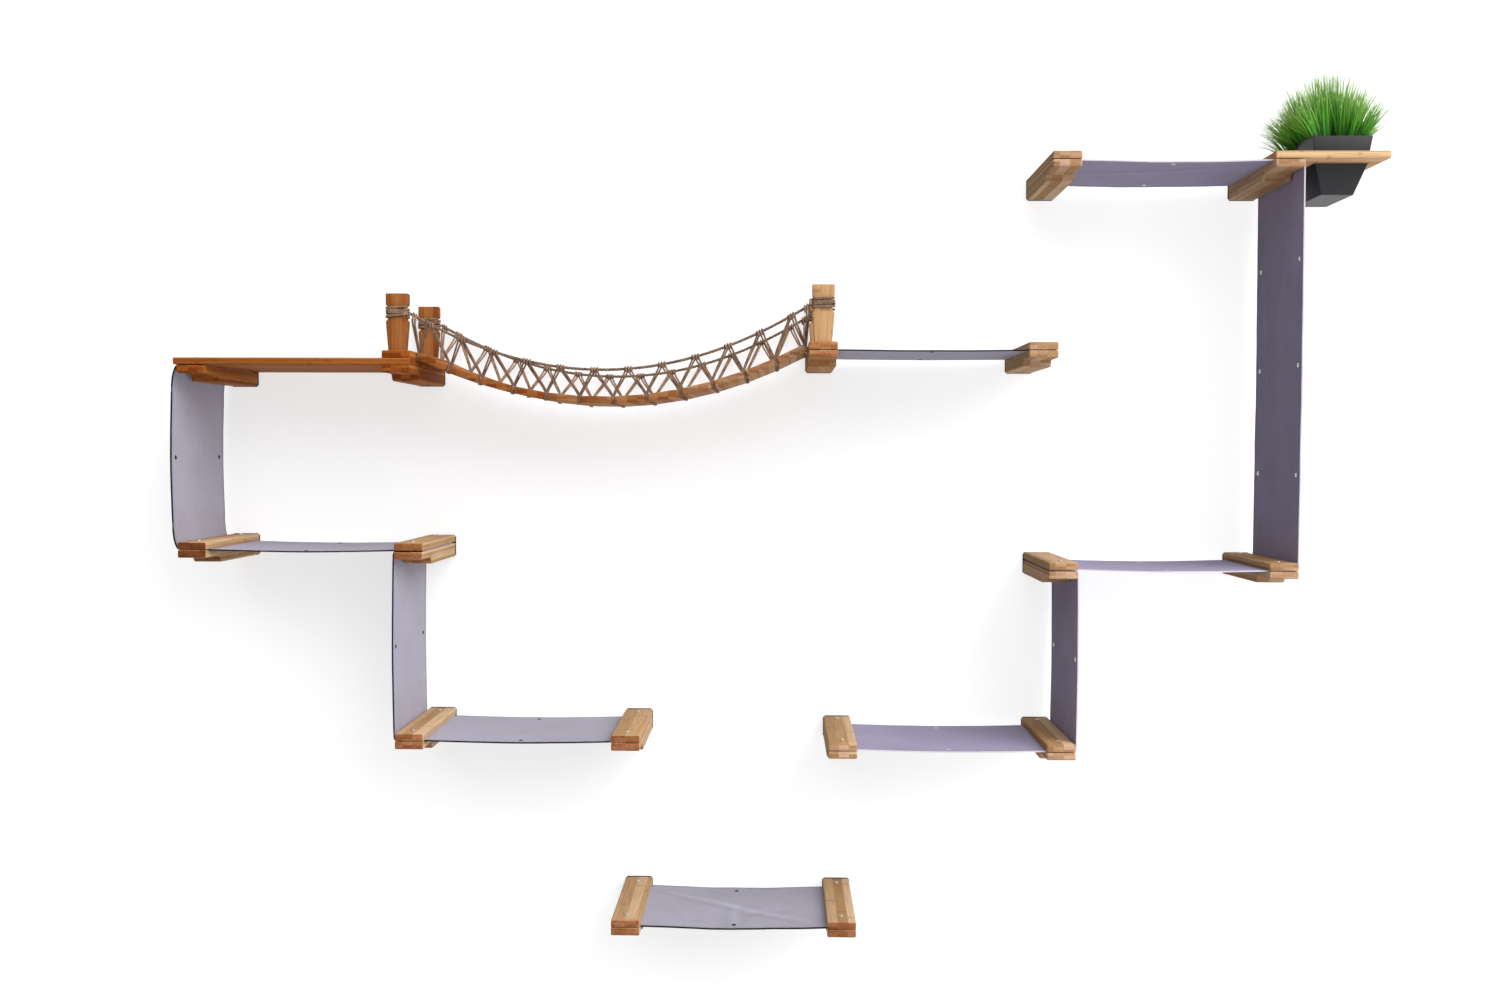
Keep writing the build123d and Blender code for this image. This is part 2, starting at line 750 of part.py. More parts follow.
def winding_route(foot):
    """Turns round a neck: level on three sides, each turn climbing to the next along the rear."""
    half_x = post_neck_width / 2 + winding_clearance + winding_radius
    half_y = post_thickness / 2 + winding_clearance + winding_radius
    x_run = half_x - winding_corner
    y_run = half_y - winding_corner
    nook = winding_corner * (1 - math.sqrt(1 / 2))
    climb_angle = math.atan(winding_pitch / 2 / x_run)
    climb_radius = (x_run**2 + (winding_pitch / 2) ** 2) / winding_pitch
    sweep_x = x_run - climb_radius * math.sin(climb_angle)
    sweep_z = climb_radius * (1 - math.cos(climb_angle))
    for index in range(winding_turns):
        z = foot + index * winding_pitch
        z_next = z + winding_pitch
        z_half = z + winding_pitch / 2
        Line((-x_run, -half_y, z), (x_run, -half_y, z))
        ThreePointArc((x_run, -half_y, z), (half_x - nook, nook - half_y, z), (half_x, -y_run, z))
        Line((half_x, -y_run, z), (half_x, y_run, z))
        ThreePointArc((half_x, y_run, z), (half_x - nook, half_y - nook, z), (x_run, half_y, z))
        ThreePointArc((x_run, half_y, z), (sweep_x, half_y, z + sweep_z), (0, half_y, z_half))
        ThreePointArc((0, half_y, z_half), (-sweep_x, half_y, z_next - sweep_z), (-x_run, half_y, z_next))
        ThreePointArc(
            (-x_run, half_y, z_next), (nook - half_x, half_y - nook, z_next), (-half_x, y_run, z_next)
        )
        Line((-half_x, y_run, z_next), (-half_x, -y_run, z_next))
        ThreePointArc(
            (-half_x, -y_run, z_next), (nook - half_x, nook - half_y, z_next), (-x_run, -half_y, z_next)
        )


def least_gap(wire, radius):
    """The least distance between two turns of a tube, measured on points of its line."""
    count = int(wire.length / radius)
    points = [wire.position_at(index / count) for index in range(count + 1)]
    far = int(winding_pitch / radius) * 4
    gaps = [
        (points[one] - points[two]).length
        for one in range(count + 1)
        for two in range(one + far, count + 1)
    ]
    return min(gaps) - 2 * radius


with BuildPart() as post_winding:
    with BuildLine() as turns:
        winding_route(winding_foot + winding_radius)
    start = turns.wires()[0] @ 0
    with BuildSketch(Plane(start, x_dir=(0, 1, 0), z_dir=(1, 0, 0))):
        Rectangle(2 * winding_radius, 2 * winding_radius)
    sweep(path=turns.wires()[0])
print("least gap between turns", round(least_gap(turns.wires()[0], winding_radius), 2))
with BuildPart() as post_windings:
    for name, top in board_top.items():
        with Locations(*[(places[name].X, row, top) for row in post_rows]):
            add(post_winding.part)
save(post_windings, "post_windings")

# The pot: a near-upright band that wedges in the shelf, then a steep taper to its base.
pot_base_draft = math.degrees(math.atan(pot_base_draw_in / (pot_height - pot_band_height)))


def pot_tapers(inset, head, foot, mode=Mode.ADD):
    """The pot's two tapers, drawn in all round by an inset, between two depths below its rim."""
    for start, end, draw_in, draft in (
        (head, pot_band_height, pot_band_draw_in * head / pot_band_height, pot_hole_draft),
        (pot_band_height, foot, pot_band_draw_in, pot_base_draft),
    ):
        with BuildSketch(Plane(pot_centre - Vector(0, 0, start))) as outline:
            Rectangle(pot_rim_width - 2 * (inset + draw_in), pot_rim_length - 2 * (inset + draw_in))
        extrude(outline.sketch, amount=start - end, taper=draft, mode=mode)


with BuildPart() as planter_pot:
    pot_tapers(0, 0, pot_height)
    pot_tapers(pot_wall, 0, pot_height - pot_wall, Mode.SUBTRACT)
save(planter_pot, "planter_pot")

# Artificial grass: blades fan out of a filling that takes up the inside of the pot.
filling_inset = pot_wall + grass_clearance
blades = []
for row in range(grass_rows):
    for column in range(grass_columns):
        across = (row + 1 / 2) / grass_rows * 2 - 1
        along = (column + 1 / 2) / grass_columns * 2 - 1
        reach = max(abs(across), abs(along))
        root = pot_centre + Vector(
            across * (pot_rim_width / 2 - blade_margin),
            along * (pot_rim_length / 2 - blade_margin),
            -grass_drop - blade_root,
        )
        lean = Vector(across * grass_spread, along * grass_spread, grass_height * (1 - reach * reach / 3))
        base = Plane(root) * RegularPolygon(blade_radius, 3)
        blades.append(loft([base, Vertex(*tuple(root + lean))]))
with BuildPart() as grass:
    pot_tapers(filling_inset, grass_drop, pot_height - filling_inset)
    add(blades)
save(grass, "grass")
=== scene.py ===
"""Dress the frame of a wall-mounted cat tree for a studio picture.

Lengths are metres, as in the frame. A name that ends in _mm or _MM is in millimetres, and MM turns one
into the other.
"""

import logging
import math
import random
from contextlib import contextmanager
from dataclasses import dataclass
from enum import Enum
from functools import partial
from itertools import accumulate
from typing import Callable, Iterator

import bmesh
import bpy
from mathutils import Matrix, Vector, noise


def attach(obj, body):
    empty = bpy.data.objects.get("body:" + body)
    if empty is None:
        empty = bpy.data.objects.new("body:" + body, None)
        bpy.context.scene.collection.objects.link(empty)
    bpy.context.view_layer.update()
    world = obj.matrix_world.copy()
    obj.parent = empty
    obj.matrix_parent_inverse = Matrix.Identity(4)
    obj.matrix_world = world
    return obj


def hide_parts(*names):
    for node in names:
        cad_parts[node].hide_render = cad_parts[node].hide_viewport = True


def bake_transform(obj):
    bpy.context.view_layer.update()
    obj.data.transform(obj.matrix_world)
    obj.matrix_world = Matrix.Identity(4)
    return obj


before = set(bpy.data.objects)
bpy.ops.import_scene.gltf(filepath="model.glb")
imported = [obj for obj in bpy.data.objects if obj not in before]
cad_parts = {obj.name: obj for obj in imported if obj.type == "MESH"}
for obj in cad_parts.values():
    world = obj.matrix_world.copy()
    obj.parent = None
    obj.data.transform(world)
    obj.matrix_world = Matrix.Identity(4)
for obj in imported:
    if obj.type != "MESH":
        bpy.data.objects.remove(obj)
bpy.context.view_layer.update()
MM = 0.001
log = logging.getLogger("cat_tree")
Piece = bpy.types.Object
Material = bpy.types.Material
Node = bpy.types.Node
Socket = bpy.types.NodeSocket
Edge = bmesh.types.BMEdge
Adder = Callable[..., Node]
Numbers = tuple[float, ...]


# Choices

class Grain(Enum):
    """The way that a piece's bamboo fibres run: along, across the strips, through the layers."""

    DEPTH = ("Y", "X", "Z")
    WIDTH = ("X", "Y", "Z")
    UPRIGHT = ("Z", "X", "Y")


class Element(Enum):
    """What a selection in edit mode is made of."""

    VERTEX = "VERT"
    EDGE = "EDGE"
    FACE = "FACE"


class Body(Enum):
    """The moving bodies of the frame."""

    WALL = "wall_run"
    PLANTER = "planter"
    OUTER = "deck_outer"
    SECOND = "deck_second"
    THIRD = "deck_third"
    FOURTH = "deck_fourth"
    MIDDLE = "deck_middle"


class Lean(Enum):
    """Whether a run of canvas lies level or stands upright."""

    LEVEL = 0
    UPRIGHT = 1


# Measures of lines and edges

def distances(points: list[Vector]) -> list[float]:
    """How far along a line each of its points lies."""
    lengths = [(after - before).length for before, after in zip(points, points[1:])]
    return list(accumulate(lengths, initial=0.0))


def run_length(points: list[Vector]) -> float:
    """The length of a line through points."""
    return distances(points)[-1]


def edge_middle(edge: Edge) -> Vector:
    """The middle of an edge."""
    return (edge.verts[0].co + edge.verts[1].co) / 2


def edge_rise(edge: Edge) -> float:
    """How much higher one end of an edge is than the other."""
    return abs(edge.verts[0].co.z - edge.verts[1].co.z)


# Modelling by hand

def deselect_all() -> None:
    """Leave nothing selected, so that an operator acts on one piece only."""
    bpy.ops.object.select_all(action="DESELECT")


def take(piece: Piece) -> None:
    """Select one piece alone and make it the active one."""
    deselect_all()
    piece.select_set(True)
    bpy.context.view_layer.objects.active = piece


def add_object(name: str, data: bpy.types.ID) -> Piece:
    """Put a new object in the scene.

    Args:
        name: its name.
        data: its lamp, camera or curve.

    Returns:
        The object.
    """
    made = bpy.data.objects.new(name, data)
    bpy.context.collection.objects.link(made)
    return made


@contextmanager
def editing(piece: Piece) -> Iterator[None]:
    """Work on a piece in edit mode, and leave edit mode afterwards.

    Args:
        piece: the mesh object to edit.
    """
    take(piece)
    bpy.ops.object.mode_set(mode="EDIT")
    try:
        yield
    finally:
        bpy.ops.object.mode_set(mode="OBJECT")


def pick(piece: Piece, kind: Element, test: Callable[..., bool]) -> int:
    """Select, in edit mode, the elements that pass a test.

    Args:
        piece: the object in edit mode.
        kind: what is selected.
        test: says of one bmesh element whether it is wanted.

    Returns:
        How many were selected.
    """
    bpy.ops.mesh.select_mode(type=kind.value)
    bpy.ops.mesh.select_all(action="DESELECT")
    mesh = bmesh.from_edit_mesh(piece.data)
    groups = {Element.VERTEX: mesh.verts, Element.EDGE: mesh.edges, Element.FACE: mesh.faces}
    wanted = [item for item in groups[kind] if test(item)]
    for item in wanted:
        item.select_set(True)
    bmesh.update_edit_mesh(piece.data)
    return len(wanted)


def name_piece(piece: Piece, name: str) -> Piece:
    """Name an object and its mesh, and hand the object back."""
    piece.name = name
    piece.data.name = name
    return piece


def fix_place() -> None:
    """Put the place, turn and scale of what is selected into its mesh."""
    bpy.ops.object.transform_apply(location=True, rotation=True, scale=True)


def add_shape(operator: Callable, name: str, **measures: object) -> Piece:
    """Add a primitive, alone selected, with its place in its mesh.

    Args:
        operator: what adds it.
        name: the piece's name.
        measures: what the operator is told.

    Returns:
        The primitive.
    """
    deselect_all()
    operator(**measures)
    piece = name_piece(bpy.context.object, name)
    fix_place()
    return piece


def add_board(name: str, low: Vector, high: Vector) -> Piece:
    """Add a squared board between two corners.

    Args:
        name: the piece's name.
        low: its lowest corner.
        high: its highest corner.

    Returns:
        The board, with its place in its mesh.
    """
    middle, size = (Vector(low) + Vector(high)) / 2, Vector(high) - Vector(low)
    return add_shape(bpy.ops.mesh.primitive_cube_add, name, size=1, location=middle, scale=size)


def cut_across(piece: Piece, point: Vector, normal: Vector) -> None:
    """Cut new edges where a plane crosses a piece.

    Args:
        piece: the piece.
        point: a point of the plane.
        normal: the plane's normal.
    """
    with editing(piece):
        bpy.ops.mesh.select_all(action="SELECT")
        bpy.ops.mesh.bisect(plane_co=point, plane_no=normal)


def round_edges(
    piece: Piece, width: float, segments: int, test: Callable[[Edge], bool]
) -> None:
    """Round those edges of a piece that pass a test.

    Args:
        piece: the piece.
        width: how far the rounding reaches from the edge.
        segments: how many faces it has.
        test: says of one edge whether it is rounded.
    """
    with editing(piece):
        if pick(piece, Element.EDGE, test):
            bpy.ops.mesh.bevel(offset=width, segments=segments, affect="EDGES")


def finish_modifiers(piece: Piece) -> None:
    """Apply every modifier of a piece."""
    take(piece)
    for modifier in list(piece.modifiers):
        bpy.ops.object.modifier_apply(modifier=modifier.name)


def smooth(piece: Piece, degrees: float = 35) -> None:
    """Shade a piece smooth, but for edges sharper than an angle."""
    take(piece)
    bpy.ops.object.shade_smooth_by_angle(angle=math.radians(degrees))


def add_peg(
    point: Vector, axis: Vector, radius: float, length: float, sides: int = 20
) -> Piece:
    """Add a round peg that is used to drill with.

    Args:
        point: its middle.
        axis: its direction.
        radius: its radius.
        length: its length.
        sides: how many sides it has.

    Returns:
        The peg.
    """
    turn = Vector((0, 0, 1)).rotation_difference(Vector(axis)).to_euler()
    return add_shape(
        bpy.ops.mesh.primitive_cylinder_add, "peg",
        vertices=sides, radius=radius, depth=length, location=point, rotation=turn,
    )


def join(pieces: list[Piece], name: str) -> Piece:
    """Join pieces into one.

    Args:
        pieces: what is joined.
        name: the name of the whole.

    Returns:
        The joined piece.
    """
    take(pieces[0])
    for piece in pieces:
        piece.select_set(True)
    if len(pieces) > 1:
        bpy.ops.object.join()
    return name_piece(bpy.context.object, name)


def drill(piece: Piece, pegs: list[Piece]) -> None:
    """Cut pegs out of a piece and throw them away.

    Args:
        piece: the piece that gets the holes.
        pegs: the pegs, none of which touches another.
    """
    if not pegs:
        return
    tool = join(pegs, "drill")
    modifier = piece.modifiers.new("holes", "BOOLEAN")
    modifier.operation = "DIFFERENCE"
    modifier.solver = "EXACT"
    modifier.object = tool
    finish_modifiers(piece)
    bpy.data.objects.remove(tool)


def copy_to(template: Piece, name: str, place: Matrix) -> Piece:
    """Copy a finished piece to another place, with a mesh of its own.

    Args:
        template: the piece that is copied.
        name: the copy's name.
        place: how the copy's points are moved.

    Returns:
        The copy.
    """
    twin = template.copy()
    twin.data = template.data.copy()
    name_piece(twin, name)
    bpy.context.collection.objects.link(twin)
    twin.data.transform(place)
    return twin


def settle(
    piece: Piece, material: Material, body: Body | None, nodes: list[str]
) -> Piece:
    """Give a piece its finish, body and material slot, and hide the nodes that it stands for.

    Args:
        piece: the finished piece.
        material: its finish.
        body: the body it rides on, or None where it is blended between two.
        nodes: the nodes that it replaces.

    Returns:
        The piece.
    """
    piece.data.materials.clear()
    piece.data.materials.append(material)
    if body is not None:
        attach(piece, body.value)
    if nodes:
        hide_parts(*nodes)
    log.info("%s: %d faces", piece.name, len(piece.data.polygons))
    return piece


def dress_node(name: str, material: Material) -> None:
    """Give a node of the frame that stays its finish.

    Args:
        name: the node.
        material: its finish.
    """
    node = bpy.data.objects[name]
    node.data.materials.clear()
    node.data.materials.append(material)
    log.info("%s keeps its solid, with a new finish", name)


# Materials

CANVAS_WIDTH_MM = 254.0
# Settings of a Mix node for colours. Its inputs are 0, the share, 6, the first colour, and 7, the second.
BLEND = {"data_type": "RGBA", "blend_type": "MIX"}
TINT = {"data_type": "RGBA", "blend_type": "MULTIPLY"}


def per(size_mm: float) -> float:
    """How often a size fits in a metre, which is the scale of a pattern on coordinates in metres."""
    return 1 / (size_mm * MM)


def linear(code: str) -> Numbers:
    """Turn an sRGB hex colour to linear light.

    Args:
        code: the colour, such as "#8a8a8a".

    Returns:
        Red, green, blue and an alpha of 1.
    """
    parts = [int(code[index : index + 2], 16) / 255 for index in (1, 3, 5)]
    light = [part / 12.92 if part <= 0.04045 else ((part + 0.055) / 1.055) ** 2.4 for part in parts]
    return light[0], light[1], light[2], 1.0


def connect(node: Node, inputs: dict) -> None:
    """Give a node's inputs their values and links.

    Args:
        node: the node.
        inputs: by name or number, a value, an output, or a node whose first shown output is linked.
    """
    for name, value in inputs.items():
        if isinstance(value, Node):
            value = next(output for output in value.outputs if output.enabled)
        if isinstance(value, Socket):
            node.id_data.links.new(value, node.inputs[name])
        else:
            node.inputs[name].default_value = value


def add_node(tree: bpy.types.NodeTree, kind: str, inputs: dict | None = None, **settings: object) -> Node:
    """Add a shader node with its settings, values and links.

    Args:
        tree: the node tree.
        kind: the node's type, without the ShaderNode that they all start with.
        inputs: what its inputs are given, as for connect.
        settings: its properties by name. Stops are a colour ramp's places with sRGB hex colours.

    Returns:
        The node.
    """
    node = tree.nodes.new(f"ShaderNode{kind}")
    stops = settings.pop("stops", ())
    for name, value in settings.items():
        setattr(node, name, value)
    for _ in stops[2:]:
        node.color_ramp.elements.new(0.5)
    for index, (position, code) in enumerate(stops):
        node.color_ramp.elements[index].position = position
        node.color_ramp.elements[index].color = linear(code)
    connect(node, inputs or {})
    return node


def new_material(name: str) -> tuple[Material, Adder, Node]:
    """Start a material with its main shader.

    Args:
        name: the finish's name.

    Returns:
        The material, what adds a node to it, and its Principled shader.
    """
    material = bpy.data.materials.new(name)
    material.use_nodes = True
    tree = material.node_tree
    return material, partial(add_node, tree), tree.nodes["Principled BSDF"]


@dataclass(frozen=True)
class Bamboo:
    """Flat-pressed laminated bamboo, planed, sanded and oiled.

    The eye sees strips about 20 mm wide that differ in tone, fine straight fibres, a darker
    band at each growth node, and darker speckled ends where the fibres are cut.
    """

    name: str
    tones: tuple[str, str, str]
    end: str
    grain: Grain
    strip_mm: float = 19.0
    layer_mm: float = 5.6
    layer_shift: float = 0.31
    node_spacing_mm: float = 210.0
    node_width_share: float = 0.02
    node_scatter: float = 7.3
    node_tone: str = "#8a5f3a"
    node_depth: float = 0.25
    # Real fibre bundles are about 0.4 mm apart: they are drawn at 1.4 mm so that they show.
    fibre_mm: float = 1.4
    fibre_run_mm: float = 90.0
    fibre_tone: str = "#b89a80"
    fibre_depth: float = 0.55
    fibre_relief_mm: float = 0.2
    end_speckle_mm: float = 1.6
    end_speckle: float = 0.6
    end_speckle_tone: str = "#8c6a50"
    roughness: float = 0.58
    specular: float = 0.04
    oil_ior: float = 1.52

    def make(self) -> Material:
        """Make the material."""
        material, add, shader = new_material(self.name)
        along, across, through = self.grain.value
        dark, middle, pale = self.tones
        place = add("TexCoord")
        axes = add("SeparateXYZ", {0: place.outputs["Object"]})
        layer = self.count(add, axes.outputs[through], self.layer_mm, self.layer_shift)
        strip = self.count(add, axes.outputs[across], self.strip_mm, layer)
        key = add("CombineXYZ", {0: strip, 1: layer})
        chance = add("TexWhiteNoise", {0: key}, noise_dimensions="3D")
        tone = add("ValToRGB", {0: chance}, stops=[(0.05, dark), (0.5, middle), (0.95, pale)])
        scale = tuple(per(self.fibre_run_mm if axis == along else self.fibre_mm) for axis in "XYZ")
        stretched = add("Mapping", {"Vector": place.outputs["Object"], "Scale": scale})
        fibres = add("TexNoise", {"Vector": stretched, "Scale": 1.0, "Detail": 2.5})
        streaks = add("ValToRGB", {0: fibres}, stops=[(0.3, self.fibre_tone), (0.68, "#ffffff")])
        fibred = add("Mix", {0: self.fibre_depth, 6: tone, 7: streaks}, **TINT)
        band = self.node_band(add, axes.outputs[along], chance)
        noded = add("Mix", {0: band, 6: fibred, 7: linear(self.node_tone)}, **TINT)
        end = self.end_grain(add, place, tone)
        colour = add("Mix", {0: self.facing(add, place, along), 6: noded, 7: end}, **BLEND)
        relief = {"Strength": 0.25, "Distance": self.fibre_relief_mm * MM, "Height": fibres}
        wax = {"Value": fibres, "To Min": self.roughness - 0.07, "To Max": self.roughness + 0.1}
        connect(shader, {
            "Base Color": colour, "Normal": add("Bump", relief), "Roughness": add("MapRange", wax),
            "IOR": self.oil_ior, "Specular IOR Level": self.specular,
        })
        return material

    def count(self, add: Adder, line: Socket, pitch_mm: float, shift: float | Node) -> Node:
        """Number the strips or layers along one direction.

        Args:
            add: what adds a node to the material.
            line: distance in that direction, in metres.
            pitch_mm: width of one strip.
            shift: how far the joints are shifted, in strips.

        Returns:
            A whole number for each strip.
        """
        scaled = add("Math", {0: line, 1: per(pitch_mm), 2: shift}, operation="MULTIPLY_ADD")
        return add("Math", {0: scaled}, operation="FLOOR")

    def node_band(self, add: Adder, line: Socket, chance: Node) -> Node:
        """Draw the growth nodes, at another place in each strip.

        Args:
            add: what adds a node to the material.
            line: distance along the fibres, in metres.
            chance: a random number for each strip.

        Returns:
            How dark a node makes the wood: 0 away from it.
        """
        shift = add("Math", {0: chance, 1: self.node_scatter}, operation="MULTIPLY")
        turn = add("Math", {0: line, 1: per(self.node_spacing_mm), 2: shift}, operation="MULTIPLY_ADD")
        part = add("Math", {0: turn}, operation="FRACT")
        band = add("Math", {0: part, 1: 0.5, 2: self.node_width_share}, operation="COMPARE")
        return add("Math", {0: band, 1: self.node_depth}, operation="MULTIPLY")

    def end_grain(self, add: Adder, place: Node, tone: Node) -> Node:
        """Colour the ends, where the cut fibres make dark speckles.

        Args:
            add: what adds a node to the material.
            place: the texture coordinates.
            tone: the strip's colour.

        Returns:
            The colour of the ends.
        """
        grit = {"Vector": place.outputs["Object"], "Scale": per(self.end_speckle_mm), "Detail": 3.0}
        stops = [(0.36, self.end_speckle_tone), (0.6, "#ffffff")]
        speckle = add("ValToRGB", {0: add("TexNoise", grit)}, stops=stops)
        plain = add("Mix", {0: 1.0, 6: tone, 7: linear(self.end)}, **TINT)
        return add("Mix", {0: self.end_speckle, 6: plain, 7: speckle}, **TINT)

    def facing(self, add: Adder, place: Node, along: str) -> Node:
        """Find the surfaces that cut across the fibres.

        Args:
            add: what adds a node to the material.
            place: the texture coordinates.
            along: the axis that the fibres follow.

        Returns:
            1 on a cut end, 0 on a side.
        """
        normal = add("SeparateXYZ", {0: place.outputs["Normal"]})
        steep = add("Math", {0: normal.outputs[along]}, operation="ABSOLUTE")
        limits = {"Value": steep, "From Min": 0.5, "From Max": 0.9}
        return add("MapRange", limits, interpolation_type="SMOOTHSTEP")


@dataclass(frozen=True)
class CottonCanvas:
    """Heavy cotton duck canvas, plain woven and piece-dyed grey lavender.

    The eye sees a matt cloth with a fine square weave, slubs along both threads, a faintly
    uneven dye, fold lines with a painted highlight on the ridge and a painted shade beside it, and stitched
    hems.
    """

    name: str
    dye: str
    worn: str
    # The colour painted on the cut edges and beside them: a painted shade on the dark-edged cloth, a painted
    # highlight on the pale-edged one.
    edge: str
    # Real duck has a thread about every 0.7 mm: it is drawn at 2.2 mm so that it shows.
    thread_mm: float = 2.2
    thread_shade: Numbers = (0.9, 1.06)
    thread_relief_mm: float = 0.35
    slub_mm: float = 1.2
    slub_run_mm: float = 28.0
    slub_depth: float = 0.35
    cloud_mm: float = 90.0
    hem_mm: float = 9.0
    stitch_mm: float = 5.0
    stitch_share: float = 0.68
    stitch_thread_mm: float = 1.0
    stitch_tone: str = "#6f6880"
    # How wide the painted line beside each cut edge is.
    painted_edge_line_mm: float = 2.6
    # How much the painted highlight on a fold's ridge lightens the cloth, and the painted shade beside it
    # darkens it.
    painted_fold_shading_depth: float = 0.2
    roughness: float = 0.9
    fuzz: float = 0.07
    specular: float = 0.2

    def make(self) -> Material:
        """Make the material."""
        material, add, shader = new_material(self.name)
        place = add("TexCoord")
        axes = add("SeparateXYZ", {0: place.outputs["UV"]})
        weave = self.weave(add, axes)
        slubs = self.slubs(add, place)
        cloud = {"Vector": place.outputs["UV"], "Scale": per(self.cloud_mm), "Detail": 4.0}
        dyed = add("Mix", {0: add("TexNoise", cloud), 6: linear(self.dye), 7: linear(self.worn)}, **BLEND)
        yarn = add("ValToRGB", {0: slubs}, stops=[(0.32, "#6c6c6c"), (0.68, "#a8a8a8")])
        tone = add("Mix", {0: self.slub_depth, 6: dyed, 7: yarn}, data_type="RGBA", blend_type="OVERLAY")
        # The folds' painted highlight and painted shade, stored on the cloth, tint it as the weave does.
        painted_fold_shading = add("Attribute", attribute_name="painted_fold_shading").outputs["Fac"]
        for value, (low, high) in (
            (weave, self.thread_shade), (painted_fold_shading, (1 - self.painted_fold_shading_depth, 1 + self.painted_fold_shading_depth))
        ):
            grey = add("MapRange", {"Value": value, "From Min": -1.0, "To Min": low, "To Max": high})
            tone = add("Mix", {0: 1.0, 6: tone, 7: grey}, **TINT)
        stitched = add("Mix", {0: self.stitches(add, axes), 6: tone, 7: linear(self.stitch_tone)}, **TINT)
        # Painted shade or painted highlight on the cut edges and on the line beside them.
        colour = add("Mix", {0: self.rim(add, place, axes), 6: stitched, 7: linear(self.edge)}, **BLEND)
        thread = add("Math", {0: weave, 1: 0.5}, operation="MULTIPLY")
        height = add("Math", {0: thread, 1: slubs}, operation="ADD")
        relief = {"Strength": 0.4, "Distance": self.thread_relief_mm * MM, "Height": height}
        connect(shader, {
            "Base Color": colour, "Normal": add("Bump", relief), "Roughness": self.roughness,
            "Sheen Weight": self.fuzz, "Sheen Roughness": 0.6, "Specular IOR Level": self.specular,
        })
        return material

    def weave(self, add: Adder, axes: Node) -> Node:
        """Cross a wave for each pair of threads along the cloth with one across it.

        Args:
            add: what adds a node to the material.
            axes: the cloth's two directions, in metres.

        Returns:
            A value from -1 to 1.
        """
        waves = []
        for line in axes.outputs[:2]:
            angle = add("Math", {0: line, 1: math.pi * per(self.thread_mm)}, operation="MULTIPLY")
            waves.append(add("Math", {0: angle}, operation="SINE"))
        return add("Math", {0: waves[0], 1: waves[1]}, operation="MULTIPLY")

    def rim(self, add: Adder, place: Node, axes: Node) -> Node:
        """Find the cut edges, and the thin line beside each, where the edge colour is painted on as painted
        shade or painted highlight.

        Args:
            add: what adds a node to the material.
            place: the texture coordinates.
            axes: the cloth's two directions, in metres.

        Returns:
            1 on the edge and the line, 0 elsewhere.
        """
        normal = add("SeparateXYZ", {0: place.outputs["Normal"]})
        steep = add("Math", {0: normal.outputs["Y"]}, operation="ABSOLUTE")
        cut = add("MapRange", {"Value": steep, "From Min": 0.55, "From Max": 0.8})
        middle = CANVAS_WIDTH_MM * MM / 2
        across = add("Math", {0: axes.outputs[1], 1: middle}, operation="SUBTRACT")
        reach = add("Math", {0: across}, operation="ABSOLUTE")
        on_painted_edge_line = add("Math", {0: reach, 1: middle - self.painted_edge_line_mm * MM}, operation="GREATER_THAN")
        return add("Math", {0: cut, 1: on_painted_edge_line}, operation="MAXIMUM")

    def slubs(self, add: Adder, place: Node) -> Node:
        """Draw the thick and thin places of the yarn, along both threads.

        Args:
            add: what adds a node to the material.
            place: the texture coordinates.

        Returns:
            A value round 0.5.
        """
        fine, long = per(self.slub_mm), per(self.slub_run_mm)
        drawn = []
        for scale in ((fine, long, 1.0), (long, fine, 1.0)):
            stretched = add("Mapping", {"Vector": place.outputs["UV"], "Scale": scale})
            drawn.append(add("TexNoise", {"Vector": stretched, "Scale": 1.0, "Detail": 2.0}))
        both = add("Math", {0: drawn[0], 1: drawn[1]}, operation="ADD")
        return add("Math", {0: both, 1: 0.5}, operation="MULTIPLY")

    def stitches(self, add: Adder, axes: Node) -> Node:
        """Draw the row of stitches that holds each hem.

        Args:
            add: what adds a node to the material.
            axes: the cloth's two directions, in metres.

        Returns:
            1 on a stitch, 0 elsewhere.
        """
        reach = self.stitch_thread_mm / 2 * MM
        near = [
            add("Math", {0: axes.outputs[1], 1: row_mm * MM, 2: reach}, operation="COMPARE")
            for row_mm in (self.hem_mm, CANVAS_WIDTH_MM - self.hem_mm)
        ]
        either = add("Math", {0: near[0], 1: near[1]}, operation="ADD")
        count = add("Math", {0: axes.outputs[0], 1: per(self.stitch_mm)}, operation="MULTIPLY")
        beat = add("Math", {0: count}, operation="FRACT")
        shown = add("Math", {0: beat, 1: self.stitch_share}, operation="LESS_THAN")
        return add("Math", {0: either, 1: shown}, operation="MULTIPLY")


@dataclass(frozen=True)
class Jute:
    """Twisted jute rope or twine, undyed.

    The eye sees a dull brown-grey with paler loose fibres that run along each strand.
    """

    name: str
    dark: str
    pale: str
    fibre_mm: float = 0.9
    fibre_share: float = 0.6
    fibre_relief_mm: float = 0.3
    patch_mm: float = 14.0
    patch_share: float = 0.4
    roughness: float = 0.88
    specular: float = 0.25

    def make(self) -> Material:
        """Make the material."""
        material, add, shader = new_material(self.name)
        place = add("TexCoord").outputs["Object"]
        fibres = add("TexNoise", {"Vector": place, "Scale": per(self.fibre_mm), "Detail": 4.0})
        patches = add("TexNoise", {"Vector": place, "Scale": per(self.patch_mm), "Detail": 2.0})
        shares = [
            add("Math", {0: pattern, 1: share}, operation="MULTIPLY")
            for pattern, share in ((fibres, self.fibre_share), (patches, self.patch_share))
        ]
        both = add("Math", {0: shares[0], 1: shares[1]}, operation="ADD")
        relief = {"Strength": 0.6, "Distance": self.fibre_relief_mm * MM, "Height": fibres}
        connect(shader, {
            "Base Color": add("ValToRGB", {0: both}, stops=[(0.36, self.dark), (0.64, self.pale)]),
            "Normal": add("Bump", relief), "Roughness": self.roughness, "Specular IOR Level": self.specular,
        })
        return material


